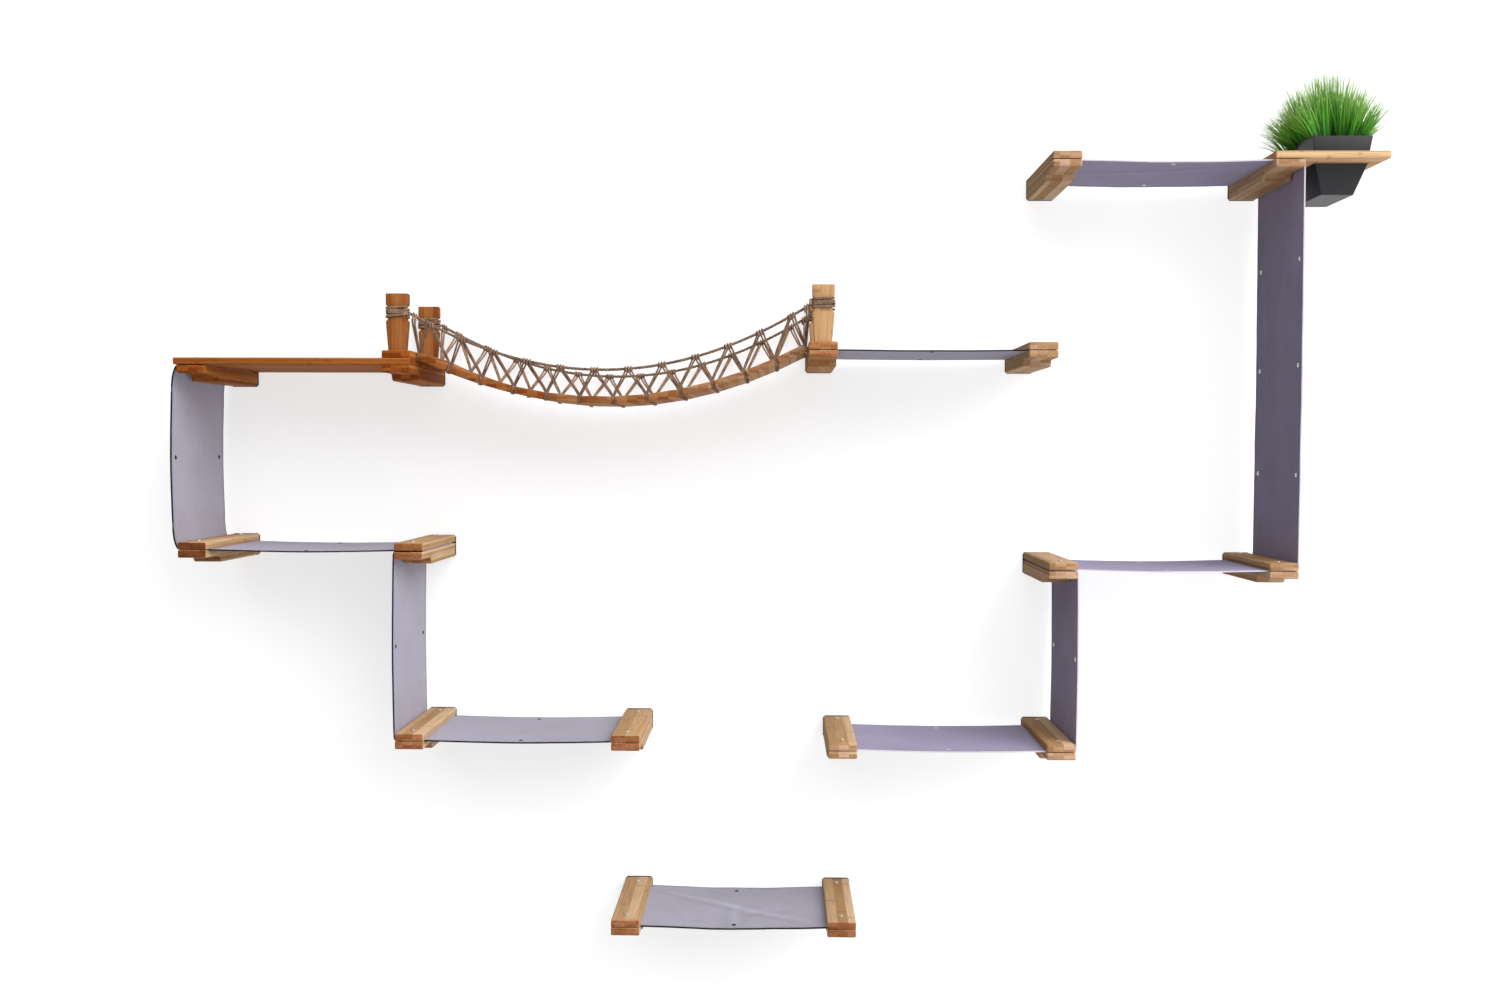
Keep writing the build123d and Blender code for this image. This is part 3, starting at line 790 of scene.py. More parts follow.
@dataclass(frozen=True)
class Metal:
    """A plated or coated metal part.

    The eye sees a tight highlight on plating, and an even matt skin with a fine grit on powder coat.
    """

    name: str
    colour: str
    worn: str
    metallic: float
    roughness: float
    grit_mm: float
    relief_mm: float
    specular: float = 0.5

    def make(self) -> Material:
        """Make the material."""
        material, add, shader = new_material(self.name)
        place = add("TexCoord").outputs["Object"]
        grit = add("TexNoise", {"Vector": place, "Scale": per(self.grit_mm), "Detail": 3.0})
        dull = {"Value": grit, "To Min": self.roughness - 0.08, "To Max": self.roughness + 0.1}
        relief = {"Strength": 0.3, "Distance": self.relief_mm * MM, "Height": grit}
        connect(shader, {
            "Base Color": add("Mix", {0: grit, 6: linear(self.colour), 7: linear(self.worn)}, **BLEND),
            "Roughness": add("MapRange", dull), "Normal": add("Bump", relief),
            "Metallic": self.metallic, "Specular IOR Level": self.specular,
        })
        return material


@dataclass(frozen=True)
class PotPlastic:
    """Moulded polypropylene in charcoal, with a lightly etched surface.

    The eye sees a soft sheen over a fine grain, and faint upright flow marks.
    """

    name: str = "moulded_polypropylene_charcoal"
    dark: str = "#131518"
    pale: str = "#202327"
    etch_mm: float = 1.3
    etch_relief_mm: float = 0.1
    flow_mm: float = 30.0
    flow_run_mm: float = 150.0
    roughness: Numbers = (0.42, 0.62)
    ior: float = 1.49

    def make(self) -> Material:
        """Make the material."""
        material, add, shader = new_material(self.name)
        place = add("TexCoord").outputs["Object"]
        etch = add("TexNoise", {"Vector": place, "Scale": per(self.etch_mm), "Detail": 3.0})
        scale = (per(self.flow_mm), per(self.flow_mm), per(self.flow_run_mm))
        stretched = add("Mapping", {"Vector": place, "Scale": scale})
        flow = add("TexNoise", {"Vector": stretched, "Scale": 1.0, "Detail": 2.0})
        dull = {"Value": etch, "To Min": self.roughness[0], "To Max": self.roughness[1]}
        relief = {"Strength": 0.35, "Distance": self.etch_relief_mm * MM, "Height": etch}
        connect(shader, {
            "Base Color": add("Mix", {0: flow, 6: linear(self.dark), 7: linear(self.pale)}, **BLEND),
            "Roughness": add("MapRange", dull), "Normal": add("Bump", relief),
            "IOR": self.ior,
        })
        return material


@dataclass(frozen=True)
class GrassPlastic:
    """Extruded polyethylene blades of artificial grass.

    The eye sees deep green at the root, a lively mid green, and a yellower tip, and no two blades alike.
    """

    name: str = "extruded_polyethylene_grass"
    root: str = "#267030"
    middle: str = "#70cf3a"
    tip: str = "#b9e678"
    streak_mm: float = 3.0
    streak_depth: float = 0.3
    shade_depth: float = 0.85
    roughness: float = 0.42
    ior: float = 1.5

    def make(self) -> Material:
        """Make the material."""
        material, add, shader = new_material(self.name)
        place = add("TexCoord").outputs["Object"]
        ramps = []
        for attribute, stops in (
            ("rise", [(0.06, self.root), (0.5, self.middle), (0.97, self.tip)]),
            ("chance", [(0.0, "#8ea27c"), (0.5, "#e2e9d6"), (1.0, "#ffffff")]),
        ):
            stored = add("Attribute", attribute_name=attribute).outputs["Fac"]
            ramps.append(add("ValToRGB", {0: stored}, stops=stops))
        varied = add("Mix", {0: self.shade_depth, 6: ramps[0], 7: ramps[1]}, **TINT)
        streaks = add("TexNoise", {"Vector": place, "Scale": per(self.streak_mm), "Detail": 1.0})
        colour = add("Mix", {0: self.streak_depth, 6: varied, 7: streaks.outputs["Color"]}, **TINT)
        connect(shader, {"Base Color": colour, "Roughness": self.roughness, "IOR": self.ior})
        return material


@dataclass(frozen=True)
class WallPaint:
    """Plain white paint of the studio wall and floor, seen only from its front.

    The camera and reflections see it, but it throws no light back, so that the shaded sides stay deep.
    Most of its white is a painted glow of its own, so that the shadows on it stay faint, and the
    glow is painted stronger towards the right, which paints the shadows there fainter still.
    """

    name: str
    colour: str = "#b4b4b4"
    # The painted glow at the left and at the right, rising between these two places along the wall.
    painted_glow_left: float = 0.62
    painted_glow_right: float = 0.78
    left: float = 0.2
    right: float = 1.0

    def make(self) -> Material:
        """Make the material."""
        material, add, shader = new_material(self.name)
        place = add("TexCoord")
        axes = add("SeparateXYZ", {0: place.outputs["Object"]})
        # Painted glow, stronger towards the right.
        painted_glow = add("MapRange", {
            "Value": axes.outputs[0], "From Min": self.left, "From Max": self.right,
            "To Min": self.painted_glow_left, "To Max": self.painted_glow_right,
        })
        connect(shader, {
            "Base Color": linear(self.colour), "Roughness": 1.0, "Specular IOR Level": 0.0,
            "Emission Color": (1.0, 1.0, 1.0, 1.0), "Emission Strength": painted_glow,
        })
        path = add("LightPath").outputs
        seen = add("Math", {0: path["Is Camera Ray"], 1: path["Is Glossy Ray"]}, operation="MAXIMUM")
        back = add("NewGeometry").outputs["Backfacing"]
        front = add("Math", {0: 1.0, 1: back}, operation="SUBTRACT")
        share = add("Math", {0: seen, 1: front}, operation="MULTIPLY")
        clear = add("BsdfTransparent")
        shown = add("MixShader", {0: share, 1: clear, 2: shader})
        connect(material.node_tree.nodes["Material Output"], {"Surface": shown})
        return material


# The tones of the bamboo's strips, dark, middle and pale, and the tones of its cut ends.
HONEY = ("#b48e62", "#cba87f", "#dbbe9c")
STRAW = ("#cea270", "#e3b988", "#f2cea2")
RUSSET = ("#804a22", "#965c2e", "#a86e3c")
CARAMEL = ("#8d4f20", "#a4642e", "#b8783e")
AMBER = ("#975e33", "#ae7644", "#c18c59")
TAN = ("#a47349", "#bd8e5f", "#cea478")
CARAMEL_END, TAN_END, PLANK_END = "#e6c8b0", "#f6e2d4", "#e2dde8"


class Finishes:
    """Every finish of the object, made once."""

    def __init__(self) -> None:
        """Make the materials."""
        self.dress_wood()
        self.dress_rest()

    def dress_wood(self) -> None:
        """Make the bamboos."""
        self.brackets = {
            tone: Bamboo(f"oiled_bamboo_{tone}", strips, end, Grain.DEPTH, end_speckle=speckle).make()
            for tone, strips, end, speckle in (
                ("natural", HONEY, "#f1e7ec", 0.3), ("brown_end", HONEY, "#c69f8c", 0.6),
                ("dark_end", HONEY, "#90664f", 0.6), ("caramel", CARAMEL, CARAMEL_END, 0.6),
                ("tan", TAN, TAN_END, 0.6),
            )
        }
        self.shelf = Bamboo("oiled_bamboo_caramel_shelf", CARAMEL, CARAMEL_END, Grain.WIDTH).make()
        self.planter_shelf = Bamboo("oiled_bamboo_straw_shelf", STRAW, "#f4dcc4", Grain.WIDTH).make()
        self.planks = {
            side: Bamboo(f"oiled_bamboo_{tone}_plank", strips, PLANK_END, Grain.DEPTH, end_speckle=0.4).make()
            for side, tone, strips in (
                ("left", "caramel", CARAMEL), ("middle", "amber", AMBER), ("right", "tan", TAN)
            )
        }
        self.posts = tuple(
            Bamboo(f"oiled_bamboo_{tone}_post", strips, end, Grain.UPRIGHT).make()
            for tone, strips, end in (("russet", RUSSET, CARAMEL_END), ("tan", TAN, TAN_END))
        )

    def dress_rest(self) -> None:
        """Make the canvases, metals, ropes and plastics."""
        # One cloth in two copies: the left-hand strips' has a painted shade on its edges; the right-hand
        # strips' has a painted highlight on its edges and a darker, bluer dye that is partly painted shade.
        self.canvas_painted_shade_edge = CottonCanvas("cotton_canvas_painted_shade_edge", "#ada9b8", "#c0bdcb", "#15131c").make()
        self.canvas_painted_highlight_edge = CottonCanvas("cotton_canvas_painted_highlight_edge", "#a49cb9", "#b9b2cc", "#d8d0dc").make()
        self.steel = Metal(
            "powder_coated_steel_black", "#101012", "#1c1c1f",
            metallic=0.0, roughness=0.62, grit_mm=1.2, relief_mm=0.08, specular=0.12,
        ).make()
        self.screw = Metal(
            "zinc_plated_steel", "#b9b3a4", "#d8d2c2",
            metallic=1.0, roughness=0.3, grit_mm=0.8, relief_mm=0.02,
        ).make()
        self.eyelet_dark = Metal(
            "black_enamelled_brass", "#151417", "#232126",
            metallic=0.0, roughness=0.5, grit_mm=0.7, relief_mm=0.02, specular=0.3,
        ).make()
        self.eyelet_bright = Metal(
            "nickel_plated_brass", "#b9b6b6", "#e2dfdd",
            metallic=1.0, roughness=0.28, grit_mm=0.7, relief_mm=0.02,
        ).make()
        self.rope = Jute("twisted_jute_rope", "#4c3a2b", "#947d66").make()
        self.twine = Jute("jute_twine", "#634734", "#a98b75").make()
        self.pot = PotPlastic().make()
        self.grass = GrassPlastic().make()


# Shared geometry of the object

COLUMN_MM = 406.4
HALF_WIDTH_MM = 27.0
DEPTH_MM = 279.4
PLATE_MM = 3.0
BOARD_MM = 14.0
SHELF_MM = 13.0
CANVAS_MM = 1.6
EDGE_MM = 2.6
# Each bracket's middle along the wall, and the height of its clamp face.
PLACES_MM = {
    "left_top": (-812.8, 1066.5),
    "left_middle_outer": (-812.8, 720.5),
    "left_middle_inner": (-406.4, 718.9),
    "left_low_outer": (-406.4, 362.5),
    "left_low_inner": (0.0, 362.5),
    "bottom_left": (0.0, 13.5),
    "bottom_right": (406.4, 13.5),
    "right_low_inner": (406.4, 350.5),
    "right_low_outer": (812.8, 350.5),
    "right_middle_inner": (812.8, 688.9),
    "right_middle_outer": (1219.2, 690.5),
    "right_top_inner": (812.8, 1447.5),
    "right_top_outer": (1219.2, 1447.5),
    "landing": (772.8, 1097.5),
    "bridge_left": (-427.4, 1068.1),
    "bridge_right": (366.4, 1097.5),
}
# What lies between a block and its board, where it isn't one layer of canvas.
STACK_MM = {
    "left_middle_inner": 2 * CANVAS_MM, "right_middle_inner": 2 * CANVAS_MM, "bridge_left": SHELF_MM
}
WOODS = {
    "left_top": "caramel", "bridge_left": "caramel", "bridge_right": "tan", "left_middle_outer": "dark_end",
    "left_middle_inner": "brown_end", "left_low_outer": "brown_end", "left_low_inner": "brown_end",
    "bottom_left": "brown_end", "bottom_right": "brown_end",
}
SHELVED = ("left_top", "right_top_outer")
# An edge whose faces meet at a greater angle than this, in radians, is rounded.
SHARP = 0.3


def stack_mm(place: str) -> float:
    """How thick the stack on a bracket's clamp face is, in millimetres."""
    return STACK_MM.get(place, CANVAS_MM)


def at_place(place: str, lift_mm: float = 0.0) -> Matrix:
    """Move a template from the origin to a bracket's clamp face."""
    x, z = PLACES_MM[place]
    return Matrix.Translation((x * MM, 0, (z + lift_mm) * MM))


def add_slab(name: str, low_mm: Numbers, high_mm: Numbers) -> Piece:
    """Add a shelf's board, with every edge rounded but those of its rear face.

    Args:
        name: the piece's name.
        low_mm: its lowest corner.
        high_mm: its highest corner.

    Returns:
        The board.
    """
    slab = add_board(name, Vector(low_mm) * MM, Vector(high_mm) * MM)
    rear = (high_mm[1] - 0.5) * MM
    round_edges(slab, EDGE_MM * MM, 3, lambda edge: edge_middle(edge).y < rear)
    return slab


@dataclass
class Studio:
    """The camera, the light and the plain wall and floor."""

    position: Numbers = (0.2792, -2.9415, 0.9086)
    yaw: float = 0.01783
    pitch: float = -0.03354
    roll: float = -0.00349
    lens: float = 34.454
    sensor: float = 36.0
    floor_level: float = -0.75
    wall_gap: float = 0.0006
    wall_size: float = 9.0
    # The way each lamp's light travels, its strength and how wide it looks, in degrees.
    lamps: tuple[tuple[str, Numbers, float, float], ...] = (
        ("key", (-0.60, 0.58, -0.55), 2.05, 46.0),
        ("top", (0.06, 0.45, -0.88), 1.0, 80.0),
        ("front", (0.0, 0.75, -0.66), 0.55, 60.0),
    )
    sky: float = 0.475
    sky_lean: Numbers = (0.88, -0.2, -0.56)

    def build(self) -> None:
        """Set up the whole studio."""
        self.add_camera()
        self.add_lamps()
        self.add_sky()
        self.add_walls()
        bpy.context.scene.view_settings.view_transform = "Standard"

    def add_camera(self) -> None:
        """Put the camera where the photograph was taken from."""
        turn = Matrix.Rotation(self.yaw, 3, "Z") @ Matrix.Rotation(self.pitch, 3, "X")
        turn = turn @ Matrix.Rotation(self.roll, 3, "Y")
        right, forward, up = (turn @ Vector(axis) for axis in ((1, 0, 0), (0, 1, 0), (0, 0, 1)))
        data = bpy.data.cameras.new("camera")
        data.sensor_width = self.sensor
        data.lens = self.lens
        camera = add_object("camera", data)
        place = Matrix((right, up, -forward)).transposed().to_4x4()
        camera.matrix_world = Matrix.Translation(self.position) @ place
        bpy.context.scene.camera = camera

    def add_lamps(self) -> None:
        """Add soft lamps from the upper right, above and in front."""
        for name, travel, strength, width in self.lamps:
            data = bpy.data.lights.new(name, "SUN")
            data.energy = strength
            data.angle = math.radians(width)
            lamp = add_object(name, data)
            lamp.rotation_mode = "QUATERNION"
            lamp.rotation_quaternion = Vector(travel).to_track_quat("-Z", "Y")

    def add_sky(self) -> None:
        """Add a sky that is brighter on the right, and that the camera sees as white."""
        world = bpy.data.worlds.new("studio")
        world.use_nodes = True
        add = partial(add_node, world.node_tree)
        path = add("LightPath").outputs
        seen = add("Math", {0: path["Is Camera Ray"], 1: path["Is Transmission Ray"]}, operation="MAXIMUM")
        way = add("TexCoord").outputs["Generated"]
        lean = add("VectorMath", {0: way, 1: self.sky_lean}, operation="DOT_PRODUCT")
        sky = add("Math", {0: lean, 1: self.sky, 2: self.sky}, operation="MULTIPLY_ADD")
        level = add("MapRange", {"Value": seen, "To Min": sky, "To Max": 1.0})
        connect(world.node_tree.nodes["Background"], {"Color": (1.0, 1.0, 1.0, 1.0), "Strength": level})
        bpy.context.scene.world = world

    def add_walls(self) -> None:
        """Add the wall behind the object and the floor far below it."""
        paint = WallPaint("studio_wall_paint").make()
        for name, location, rotation in (
            ("studio_wall", (0.28, self.wall_gap, 1.0), (math.pi / 2, 0, 0)),
            ("studio_floor", (0.28, -2.0, self.floor_level), (0, 0, 0)),
        ):
            plane = add_shape(
                bpy.ops.mesh.primitive_plane_add, name,
                size=self.wall_size, location=location, rotation=rotation,
            )
            plane.data.materials.append(paint)


@dataclass
class Brackets:
    """The stepped blocks, the clamp boards and their screws."""

    finishes: Finishes
    block_mm: float = 27.0
    nose_mm: float = 14.0
    step_head_mm: float = 211.4
    step_foot_mm: float = 203.4
    inner_edge_mm: float = 0.9
    mouth_radius_mm: float = 4.0
    mouth_depth_mm: float = 7.0
    mouth_row_mm: float = -29.0
    screw_rows_mm: Numbers = (-33.0, -246.4)
    screw_turn: float = 0.7
    head_radius_mm: float = 4.3
    head_height_mm: float = 2.4
    head_edge_mm: float = 1.2
    shank_radius_mm: float = 2.0
    shank_mm: float = 16.0
    recess_mm: Numbers = (3.0, 0.75)
    recess_floor_mm: float = 1.0

    def build(self) -> None:
        """Build every bracket."""
        self.build_blocks()
        self.build_boards()
        self.build_screws()
        dress_node("wall_plates", self.finishes.steel)
        dress_node("retaining_screws", self.finishes.screw)

    def build_blocks(self) -> None:
        """Model one stepped block, then copy it to every place."""
        low = Vector((-HALF_WIDTH_MM, -DEPTH_MM, -self.block_mm)) * MM
        high = Vector((HALF_WIDTH_MM, -PLATE_MM, 0)) * MM
        block = add_board("block", low, high)
        for cut_mm in (self.step_head_mm, self.step_foot_mm):
            cut_across(block, Vector((0, -cut_mm * MM, 0)), Vector((0, 1, 0)))
        under, step = -self.nose_mm * MM, -(self.step_head_mm - 1) * MM
        with editing(block):
            pick(block, Element.VERTEX, lambda v: v.co.z < under and v.co.y < step)
            bpy.ops.transform.translate(value=(0, 0, (self.block_mm - self.nose_mm) * MM))
        self.soften(block)
        mouth = add_peg(
            Vector((0, self.mouth_row_mm, -self.block_mm)) * MM, Vector((0, 0, 1)),
            self.mouth_radius_mm * MM, 2 * self.mouth_depth_mm * MM,
        )
        drill(block, [mouth])
        smooth(block)
        for place in PLACES_MM:
            name = f"block_{place}"
            piece = copy_to(block, f"{name}_wood", at_place(place))
            settle(piece, self.wood(place), Body.WALL, [name])
        bpy.data.objects.remove(block)

    def build_boards(self) -> None:
        """Model one clamp board, then copy it to each place that has one."""
        low = Vector((-HALF_WIDTH_MM, -DEPTH_MM, 0)) * MM
        high = Vector((HALF_WIDTH_MM, -PLATE_MM, BOARD_MM)) * MM
        board = add_board("clamp_board", low, high)
        self.soften(board)
        smooth(board)
        for place in PLACES_MM:
            if place not in SHELVED:
                name = f"clamp_board_{place}"
                piece = copy_to(board, f"{name}_wood", at_place(place, stack_mm(place)))
                settle(piece, self.wood(place), Body.WALL, [name])
        bpy.data.objects.remove(board)

    def soften(self, piece: Piece) -> None:
        """Round a block's or a board's outer edges well, and those at its clamp face a little.

        Args:
            piece: the block or the board, with its clamp face at height 0.
        """
        rear = -(PLATE_MM + 0.5) * MM

        def sharp(edge: Edge) -> bool:
            """Whether an edge in front of the rear face has an angle to it."""
            return edge_middle(edge).y < rear and edge.calc_face_angle(0) > SHARP

        def clamping(edge: Edge) -> bool:
            """Whether an edge lies in the clamp face."""
            return all(abs(vertex.co.z) < 0.05 * MM for vertex in edge.verts)

        outside = 0.1 * MM
        round_edges(piece, EDGE_MM * MM, 3, lambda edge: sharp(edge) and abs(edge_middle(edge).z) > outside)
        round_edges(piece, self.inner_edge_mm * MM, 2, lambda edge: sharp(edge) and clamping(edge))

    def wood(self, place: str) -> Material:
        """The bamboo of a bracket."""
        return self.finishes.brackets[WOODS.get(place, "natural")]

    def build_screws(self) -> None:
        """Model one pan-head screw with a cross recess, and copy it to every clamp."""
        top = self.head_height_mm * MM
        screw = add_shape(
            bpy.ops.mesh.primitive_cylinder_add, "screw",
            vertices=24, radius=self.head_radius_mm * MM, depth=top, location=(0, 0, top / 2),
        )
        rim = top - 0.01 * MM
        round_edges(screw, self.head_edge_mm * MM, 4, lambda edge: all(v.co.z > rim for v in edge.verts))
        with editing(screw):
            pick(screw, Element.FACE, lambda face: face.normal.z < -0.9)
            bpy.ops.mesh.inset(thickness=(self.head_radius_mm - self.shank_radius_mm) * MM)
            bpy.ops.mesh.extrude_region_move(TRANSFORM_OT_translate={"value": (0, 0, -self.shank_mm * MM)})
        for x, y in (self.recess_mm, self.recess_mm[::-1]):
            low, high = Vector((-x, -y, self.recess_floor_mm)), Vector((x, y, self.recess_floor_mm + 3))
            drill(screw, [add_board("arm", low * MM, high * MM)])
        smooth(screw, 30)
        copies = []
        for index, place in enumerate(PLACES_MM):
            top_mm = stack_mm(place) + (SHELF_MM if place == "left_top" else BOARD_MM)
            for row in self.screw_rows_mm:
                # No two screws were stopped at the same turn.
                turn = Matrix.Rotation(self.screw_turn * index + row, 4, "Z")
                spot = at_place(place, top_mm) @ Matrix.Translation((0, row * MM, 0))
                copies.append(copy_to(screw, "clamp_screw", spot @ turn))
        bpy.data.objects.remove(screw)
        settle(join(copies, "clamp_screw_heads"), self.finishes.screw, Body.WALL, ["clamp_screws"])


@dataclass
class Shelf:
    """The long shelf at the upper left."""

    finishes: Finishes
    left_mm: float = -845.8
    right_mm: float = -400.4
    level_mm: float = 1068.1

    def build(self) -> None:
        """Build the shelf."""
        low = (self.left_mm, -DEPTH_MM, self.level_mm)
        shelf = add_slab("shelf_wood", low, (self.right_mm, -PLATE_MM, self.level_mm + SHELF_MM))
        smooth(shelf)
        settle(shelf, self.finishes.shelf, Body.WALL, ["shelf"])


@dataclass
class Planter:
    """The planter shelf, the pot let into it and the grass."""

    finishes: Finishes
    left_mm: float = 1192.2
    right_mm: float = 1402.2
    level_mm: float = 1449.1
    centre_mm: Numbers = (1330.2, -143.9, 1499.1)
    rim_mm: Numbers = (111.0, 185.0)
    height_mm: float = 105.0
    band_mm: float = 52.0
    band_draw_in_mm: float = 7.0
    base_draw_in_mm: float = 18.0
    wall_mm: float = 2.5
    filling_drop_mm: float = 16.0
    corner_edge_mm: float = 2.2
    rim_edge_mm: float = 0.7
    hole_gap_mm: float = 0.6
    hole_corner_mm: float = 3.0
    tuft_count: int = 72
    tuft_blades: int = 22
    tuft_inset_mm: float = 9.0
    root_drop_mm: float = 15.0
    root_scatter_mm: float = 4.0
    blade_radius_mm: float = 1.8
    blade_tip_share: float = 0.12
    # The heights at which a blade is cut, and how much wider it is made there.
    blade_shape: tuple[Numbers, ...] = ((0.28, 1.3), (0.5, 1.5), (0.7, 1.5), (0.86, 1.3))
    crown_mm: float = 164.0
    skirt_mm: float = 76.0
    fan_mm: Numbers = (25.0, 16.0)
    rim_fan_mm: float = 13.0
    stray_mm: Numbers = (8.0, 7.0)
    shortest: float = 0.66
    droop: Numbers = (0.6, 0.5)
    droop_range: Numbers = (0.3, 1.3)
    furthest: float = 1.9
    tuft_tone: Numbers = (0.55, 0.16)
    blade_tone: float = 0.2
    shift_mm: float = -5.0
    wall_gap_mm: float = 5.0
    seed: int = 11

    def build(self) -> None:
        """Build the planter shelf, the pot and the grass."""
        self.build_shelf()
        self.build_pot()
        self.build_grass()

    def build_shelf(self) -> None:
        """Build the board with its rectangular opening."""
        top_mm = self.level_mm + BOARD_MM
        low = (self.left_mm, -DEPTH_MM, self.level_mm)
        shelf = add_slab("planter_shelf_wood", low, (self.right_mm, -PLATE_MM, top_mm))
        drop_mm = self.centre_mm[2] - top_mm
        shrink_mm = 2 * self.band_draw_in_mm * drop_mm / self.band_mm - 2 * self.hole_gap_mm
        half_x, half_y = ((size - shrink_mm) / 2 for size in self.rim_mm)
        x, y, _ = self.centre_mm
        over_mm = 5.0
        tool = add_board(
            "opening",
            Vector((x - half_x, y - half_y, self.level_mm - over_mm)) * MM,
            Vector((x + half_x, y + half_y, top_mm + over_mm)) * MM,
        )
        round_edges(tool, self.hole_corner_mm * MM, 3, lambda edge: edge_rise(edge) > BOARD_MM * MM)
        drill(shelf, [tool])
        smooth(shelf)
        settle(shelf, self.finishes.planter_shelf, Body.WALL, ["planter_shelf"])

    def build_pot(self) -> None:
        """Build the tapered pot as a shell with a filling."""
        x, y, z = self.centre_mm
        half_x, half_y = self.rim_mm[0] / 2, self.rim_mm[1] / 2
        pot = add_board(
            "planter_pot_shell",
            Vector((x - half_x, y - half_y, z - self.height_mm)) * MM,
            Vector((x + half_x, y + half_y, z)) * MM,
        )
        centre = Vector(self.centre_mm) * MM
        cut_across(pot, centre - Vector((0, 0, self.band_mm * MM)), Vector((0, 0, 1)))
        whole_draw_in_mm = self.band_draw_in_mm + self.base_draw_in_mm
        for depth_mm, draw_in_mm in (
            (self.band_mm, self.band_draw_in_mm), (self.height_mm, whole_draw_in_mm)
        ):
            level = (z - depth_mm) * MM
            shares = (1 - draw_in_mm / half_x, 1 - draw_in_mm / half_y, 1)
            with editing(pot):
                pick(pot, Element.VERTEX, lambda v: abs(v.co.z - level) < 0.1 * MM)
                bpy.ops.transform.resize(value=shares, center_override=centre)
        with editing(pot):
            pick(pot, Element.FACE, lambda face: face.normal.z > 0.9)
            bpy.ops.mesh.inset(thickness=self.wall_mm * MM)
            bpy.ops.mesh.extrude_region_move(
                TRANSFORM_OT_translate={"value": (0, 0, -self.filling_drop_mm * MM)}
            )
        # The corners inside are only as high as the filling is deep, and stay sharp.
        inside, steep = (self.filling_drop_mm + 4) * MM, 1.0
        round_edges(
            pot, self.corner_edge_mm * MM, 3,
            lambda edge: edge_rise(edge) > inside and edge.calc_face_angle(0) > steep,
        )
        round_edges(
            pot, self.rim_edge_mm * MM, 2,
            lambda edge: edge.calc_face_angle(0) > steep
            and all(abs(v.co.z - z * MM) < 0.01 * MM for v in edge.verts),
        )
        smooth(pot, 25)
        settle(pot, self.finishes.pot, Body.PLANTER, ["planter_pot"])

    def model_blade(self) -> Piece:
        """Model one blade, one metre tall, with three sides and five lengths.

        Returns:
            The blade, with its height stored as an attribute.
        """
        radius = self.blade_radius_mm * MM
        blade = add_shape(
            bpy.ops.mesh.primitive_cone_add, "blade",
            vertices=3, radius1=radius, radius2=self.blade_tip_share * radius, depth=1, location=(0, 0, 0.5),
        )
        for height, _ in self.blade_shape:
            cut_across(blade, Vector((0, 0, height)), Vector((0, 0, 1)))
        for height, share in self.blade_shape:
            with editing(blade):
                pick(blade, Element.VERTEX, lambda v: abs(v.co.z - height) < 0.02)
                bpy.ops.transform.resize(value=(share, share / 2, 1), center_override=(0, 0, height))
        rise = blade.data.attributes.new("rise", "FLOAT", "POINT")
        rise.data.foreach_set("value", [v.co.z for v in blade.data.vertices])
        blade.data.attributes.new("chance", "FLOAT", "POINT")
        return blade

    def build_grass(self) -> None:
        """Fan tufts of blades out of the pot, tall in the middle and drooping at the rim."""
        template = self.model_blade()
        chance = random.Random(self.seed)
        x, y, z = self.centre_mm
        half_x, half_y = (size / 2 - self.tuft_inset_mm for size in self.rim_mm)
        copies = []
        for _ in range(self.tuft_count):
            across, along = chance.uniform(-1, 1), chance.uniform(-1, 1)
            foot = Vector((x + across * half_x, y + along * half_y, z - self.root_drop_mm))
            outward = across * self.fan_mm[0] + across**3 * self.rim_fan_mm + self.shift_mm
            height = self.crown_mm - (self.crown_mm - self.skirt_mm) * max(abs(across), abs(along)) ** 2
            fan = Vector((outward, along * self.fan_mm[1], height))
            tone = chance.gauss(*self.tuft_tone)
            copies.extend(self.grow(template, foot, fan, tone, chance) for _ in range(self.tuft_blades))
        bpy.data.objects.remove(template)
        grass = join(copies, "grass_blades")
        smooth(grass, 60)
        settle(grass, self.finishes.grass, Body.PLANTER, ["grass"])

    def grow(
        self, template: Piece, foot: Vector, fan: Vector, tone: float, chance: random.Random
    ) -> Piece:
        """Copy the blade to a tuft, and bend it its own way.

        Args:
            template: the straight blade.
            foot: the foot of the tuft, in millimetres.
            fan: where the tuft's tallest blade ends, from its foot, in millimetres.
            tone: how pale the tuft is.
            chance: the source of the random numbers.

        Returns:
            The bent blade.
        """
        scatter = self.root_scatter_mm
        root = foot + Vector((chance.uniform(-scatter, scatter), chance.uniform(-scatter, scatter), 0))
        lean = Vector((fan.x, fan.y, 0)) + Vector((*(chance.gauss(0, stray) for stray in self.stray_mm), 0))
        lean.y = min(lean.y, (-self.wall_gap_mm - root.y) / self.furthest)
        lean.z = fan.z * chance.uniform(self.shortest, 1.0)
        out, down = self.droop
        droop = Vector((lean.x * out, lean.y * out, -down * lean.xy.length))
        droop *= chance.uniform(*self.droop_range)
        blade = copy_to(template, "blade_copy", Matrix.Identity(4))
        shade = min(1.0, max(0.0, tone + chance.gauss(0, self.blade_tone)))
        blade.data.attributes["chance"].data.foreach_set("value", [shade] * len(blade.data.vertices))
        twist = Matrix.Rotation(chance.uniform(0, math.tau), 3, "Z")
        for vertex in blade.data.vertices:
            rise = vertex.co.z
            flat = twist @ Vector((vertex.co.x, vertex.co.y, 0))
            vertex.co = (root + lean * rise + droop * rise**2) * MM + flat
        return blade


